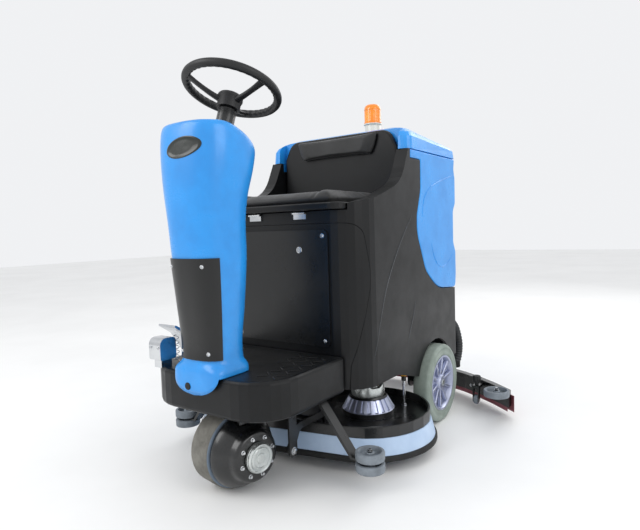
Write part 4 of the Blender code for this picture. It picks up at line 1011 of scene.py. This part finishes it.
for height in [0.409 + 0.281 * k / 40 for k in range(41)]:
    angles = [1.5 * math.pi - PLATE_REACH + PLATE_REACH * 2 * k / 48 for k in range(49)]
    ring = [column_skin(a, height, -0.0045) for a in angles]
    ring += [column_skin(a, height, -0.0010) for a in reversed(angles)]
    rows.append([bm.verts.new(p) for p in ring])
bridge(bm, rows, capped=True)
keep("access_plate_moulding", bm, plate_abs, "chassis", "access_plate", 50)
print("column points", AROUND * len(columns[0]))

# %% [markdown]
# ## Things on the column
# A plain oval badge, the access plate's screws and a rubber plug lie on a curved skin. A ray
# towards the skin finds each place and the way it faces, so that nothing floats or sinks in.

# %% The badge, plug and screws
column = surface_of(column_piece)
cover_plate = surface_of(bpy.data.objects["access_plate_moulding"])
door = surface_of(NODES["battery_door"])
AHEAD = Vector((0, 1, 0))


def facing(tree, x, z):
    """The place and outward way on a surface seen from in front."""
    hit, normal, _, _ = tree.ray_cast(Vector((x, -2.0, z)), AHEAD)
    return hit, (normal if normal.y < 0 else -normal)


BADGE = (0.024, 0.984, 0.0590, 0.0275)
badge_x, badge_z, badge_half, badge_tall = BADGE
bm = bmesh.new()
rows = []
for share, lift in ((1.0, -0.0004), (1.0, 0.0010), (0.96, 0.0018), (0.88, 0.0018), (0.86, 0.0014),
                    (0.6, 0.0014), (0.3, 0.0014)):
    row = []
    for k in range(64):
        angle = 2 * math.pi * k / 64
        x = badge_x + badge_half * share * math.cos(angle)
        z = badge_z + badge_tall * share * math.sin(angle) + 0.10 * (x - badge_x)
        spot, normal = facing(column, x, z)
        row.append(bm.verts.new(spot + normal * lift))
    rows.append(row)
bridge(bm, rows)
spot, normal = facing(column, badge_x, badge_z)
hub = bm.verts.new(spot + normal * 0.0014)
for i in range(64):
    bm.faces.new((rows[-1][i], rows[-1][(i + 1) % 64], hub))
keep("column_badge", bm, badge_abs, "chassis", (), 40)

bm = bmesh.new()
for x, z in ((-0.052, 0.428), (0.052, 0.428), (-0.060, 0.668), (0.060, 0.668)):
    spot, normal = facing(cover_plate, x, z)
    bolt(bm, aimed(spot - normal * 0.0004, normal), 0.0042, 0.0032, "socket")
for x, z in ((-0.180, 0.738), (0.180, 0.738), (-0.180, 0.404), (0.180, 0.404)):
    spot, normal = facing(door, x, z)
    bolt(bm, aimed(spot - normal * 0.0004, normal), 0.0058, 0.0040, "socket")
keep("panel_screws", bm, plated, "chassis")
bm = bmesh.new()
spot, normal = facing(column, -0.022, 0.333)
lathe(bm, [(0, -0.001), (0.0106, -0.001), (0.0106, 0.0014), (0.0096, 0.0026), (0.0060, 0.0030), (0, 0.0032)],
      aimed(spot, normal), 48)
keep("column_plug", bm, epdm, "chassis")
bm = bmesh.new()
spot, normal = facing(door, 0.090, 0.694)
lathe(bm, [(0, -0.001), (0.0110, -0.001), (0.0110, 0.0030), (0.0100, 0.0042), (0.0078, 0.0046),
           (0.0072, 0.0034), (0.0030, 0.0034), (0, 0.0034)], aimed(spot, normal), 48)
block(bm, aimed(spot + normal * 0.0042, normal), (0.0022, 0.0100, 0.0024), 0.0006)
keep("battery_door_lock", bm, plated, "chassis")
print("badge at", [round(v, 3) for v in facing(column, badge_x, badge_z)[0]])

# %% [markdown]
# ## Platform tread and pedal
# The platform has raised bars that grip the driver's soles. They are short rounded bars in a
# herringbone, low enough to sweep clean. The pedal has pressed ribs and a return spring.

# %% Platform tread
bm = bmesh.new()
bars = 0
for side in (1, -1):
    for row in range(9):
        for column_place in range(3):
            x = side * (0.122 + 0.044 * column_place)
            y = -0.455 + 0.029 * row
            if abs(x) > 0.232 or (side < 0 and y < -0.360 and abs(x) > 0.115):
                continue
            if abs(x) < 0.140 and y < -0.330:
                continue
            turn = math.radians(38 if (row + column_place) % 2 else -38)
            place = Matrix.Translation(at(x, y, FLOOR_TOP + 0.0006)) @ Matrix.Rotation(turn, 4, "Z")
            block(bm, place, (0.030, 0.0060, 0.0030), 0.0013, 3)
            bars += 1
keep("platform_tread", bm, black_pe, "chassis")
print("tread bars", bars)

# %% [markdown]
# The pedal plate has pressed ribs under the shoe. A coil spring between it and the platform pushes it back.

# %% The pedal
bm = bmesh.new()
pedal_skin = surface_of(NODES["pedal_plate"])
for k in range(7):
    y = -0.487 + 0.013 * k
    spots = []
    for x in (-0.198, -0.1675, -0.137):
        hit, normal, _, _ = pedal_skin.ray_cast(at(x, y, 0.6), Vector((0, 0, -1)))
        if hit:
            spots.append(hit + Vector((0, 0, 0.0004)))
    if len(spots) == 3:
        pipe(bm, curve_through(spots, 7), 0.0016, 10)
keep("pedal_ribs", bm, grip_abs, "pedal")
bm = bmesh.new()
spring = [at(-0.1675 + 0.008 * math.cos(a), -0.470 + 0.008 * math.sin(a), 0.366 + 0.0037 * a / 1.6)
          for a in [2 * math.pi * k / 14 for k in range(14 * 6)]]
pipe(bm, spring, 0.0012, 8)
spring_piece = keep("pedal_spring", bm, plated, "chassis")
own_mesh(spring_piece)
bm = bmesh.new()
for x in (-0.157, -0.191):
    bolt(bm, aimed(at(x, -0.5448, 0.425), (0, -1, 0)), 0.0042, 0.0036, "socket")
keep("pedal_box_screws", bm, plated, "chassis")

# %% [markdown]
# ## Creases, seams and fasteners on the body
# Styling creases run down both black sides, and arcs are embossed in the blue tank. Thin welts sunk halfway
# into the skin stand for the moulded ridges. The side creases are coloured a lighter grey than the black
# body, as a painted highlight along each ridge.

# %% Side creases
shell = surface_of(NODES["rear_shell"])


def along_side(points, side, count, tree, sink=0.0006):
    """A smooth route on a body's side, from (y, z) points."""
    route = []
    for p in curve_through([Vector((0, y, z)) for y, z in points], count):
        start = Vector((side * 1.0, p.y + SHIFT, p.z))
        hit = tree.ray_cast(start, Vector((-side, 0, 0)))[0]
        if hit:
            route.append(hit - Vector((side * sink, 0, 0)))
    return route


CREASES = (
    ((0.207, 0.798), (0.157, 0.752), (0.086, 0.674), (0.018, 0.581), (-0.027, 0.490), (-0.083, 0.337)),
    ((0.225, 0.490), (0.205, 0.440), (0.178, 0.392), (0.153, 0.340)),
)
bm = bmesh.new()
for side in (1, -1):
    for crease in CREASES:
        route = along_side(crease, side, 48, shell)
        pipe(bm, route, lambda t: 0.0006 + 0.0018 * math.sin(math.pi * t) ** 0.5, 10)
# The side welts take the lighter crease finish, a painted highlight along each crease.
keep("side_creases_painted_highlight", bm, painted_highlight_pe, "chassis", (), 60)
tank = surface_of(NODES["recovery_tank"])
ARCS = (((0.620, 0.969), (0.474, 0.936), (0.368, 0.903), (0.318, 0.864), (0.302, 0.824), (0.298, 0.790)),
        ((0.596, 0.640), (0.520, 0.600), (0.452, 0.600), (0.400, 0.640), (0.372, 0.700)))
bm = bmesh.new()
for side in (1, -1):
    for arc in ARCS:
        route = along_side(arc, side, 48, tank)
        pipe(bm, route, lambda t: 0.0006 + 0.0020 * math.sin(math.pi * t) ** 0.5, 10)
keep("tank_arcs", bm, blue_pe, "chassis", (), 60)
print("creases", 2 * len(CREASES), "arcs", 2 * len(ARCS))

# %% [markdown]
# Bolts hold the frame's brackets and clamp the blades along the squeegee beam. They are plated,
# so they catch the light.

# %% Fasteners on the frame and squeegee
bm = bmesh.new()
for side in (1, -1):
    bolt(bm, aimed(at(side * 0.1665, -0.330, 0.105), (side, 0, 0)), 0.0090, 0.0065)
    bolt(bm, aimed(at(side * 0.2095, 0.390, 0.232), (side, 0, 0)), 0.0070, 0.0060)
keep("frame_bolts", bm, plated, "chassis")
bm = bmesh.new()
SQUEEGEE_Y, SQUEEGEE_BEND = 0.790, 0.810
for k in range(9):
    x = -0.480 + 0.120 * k
    y = SQUEEGEE_Y - SQUEEGEE_BEND * x * x
    ahead = Vector((-2 * SQUEEGEE_BEND * x, -1.0, 0)).normalized()
    if abs(x) > 0.05:
        bolt(bm, aimed(at(x, y, 0.066) + ahead * 0.0152, ahead), 0.0052, 0.0045)
keep("squeegee_bolts", bm, plated, "squeegee")

# %% [markdown]
# ## Floor, light and camera
# A pale floor and three broad lights, as in a product studio. The camera stands at the height of
# a person's chest, in front and to the left of the machine.

# %% Floor and light
floor_finish = finish("pale_floor", "#F4F4F3", "#EFEFEE", (0.5, 0.65), 4.0, 0.05, broad_mm=900)
bm = bmesh.new()
bmesh.ops.create_grid(bm, x_segments=40, y_segments=40, size=14.0)
mesh = bpy.data.meshes.new("floor")
bm.to_mesh(mesh)
bm.free()
mesh.materials.append(floor_finish)
floor = bpy.data.objects.new("floor", mesh)
SCENE.collection.objects.link(floor)
world = bpy.data.worlds.new("studio")
SCENE.world = world
world.use_nodes = True
world.node_tree.nodes["Background"].inputs["Color"].default_value = (0.97, 0.98, 1.0, 1.0)
world.node_tree.nodes["Background"].inputs["Strength"].default_value = 0.90
AIM = at(0.0, 0.10, 0.60)
for name, place, size, power in (("key", (-1.6, -3.2, 3.0), 2.4, 62.0), ("side", (3.4, -0.6, 2.2), 2.2, 34.0),
                                 ("back", (0.6, 3.6, 3.0), 2.6, 40.0)):
    lamp = bpy.data.lights.new(name, "AREA")
    lamp.size = size
    lamp.energy = power
    light = bpy.data.objects.new(name, lamp)
    light.location = place
    light.rotation_euler = (AIM - Vector(place)).to_track_quat("-Z", "Y").to_euler()
    SCENE.collection.objects.link(light)
SCENE.view_settings.view_transform = "Standard"

# %% [markdown]
# The camera looks a little down, with a slight roll, through a lens of about 30 mm on a 36 mm wide
# sensor. The turn is built from three axes, so that the roll stays exact.

# %% The camera
AZIMUTH, PITCH, ROLL = math.radians(34.7341), math.radians(3.87), math.radians(1.7564)
FOCAL_SHARE = 525.9158 / 640
EYE = at(1.1258, -1.5138, 0.7578)
forward = Vector((-math.sin(AZIMUTH) * math.cos(PITCH), math.cos(AZIMUTH) * math.cos(PITCH),
                  -math.sin(PITCH)))
right = Vector((math.cos(AZIMUTH), math.sin(AZIMUTH), 0.0))
down = forward.cross(right)
rolled_right = right * math.cos(ROLL) + down * math.sin(ROLL)
rolled_down = -right * math.sin(ROLL) + down * math.cos(ROLL)
turn = Matrix((rolled_right, -rolled_down, -forward)).transposed()
view = bpy.data.cameras.new("view")
view.sensor_fit = "HORIZONTAL"
view.sensor_width = 36.0
view.lens = FOCAL_SHARE * view.sensor_width
view.shift_x = -0.01018
view.shift_y = -0.00014
eye = bpy.data.objects.new("camera", view)
eye.matrix_world = Matrix.Translation(EYE) @ turn.to_4x4()
SCENE.collection.objects.link(eye)
SCENE.camera = eye
print("camera", [round(v, 4) for v in eye.location])
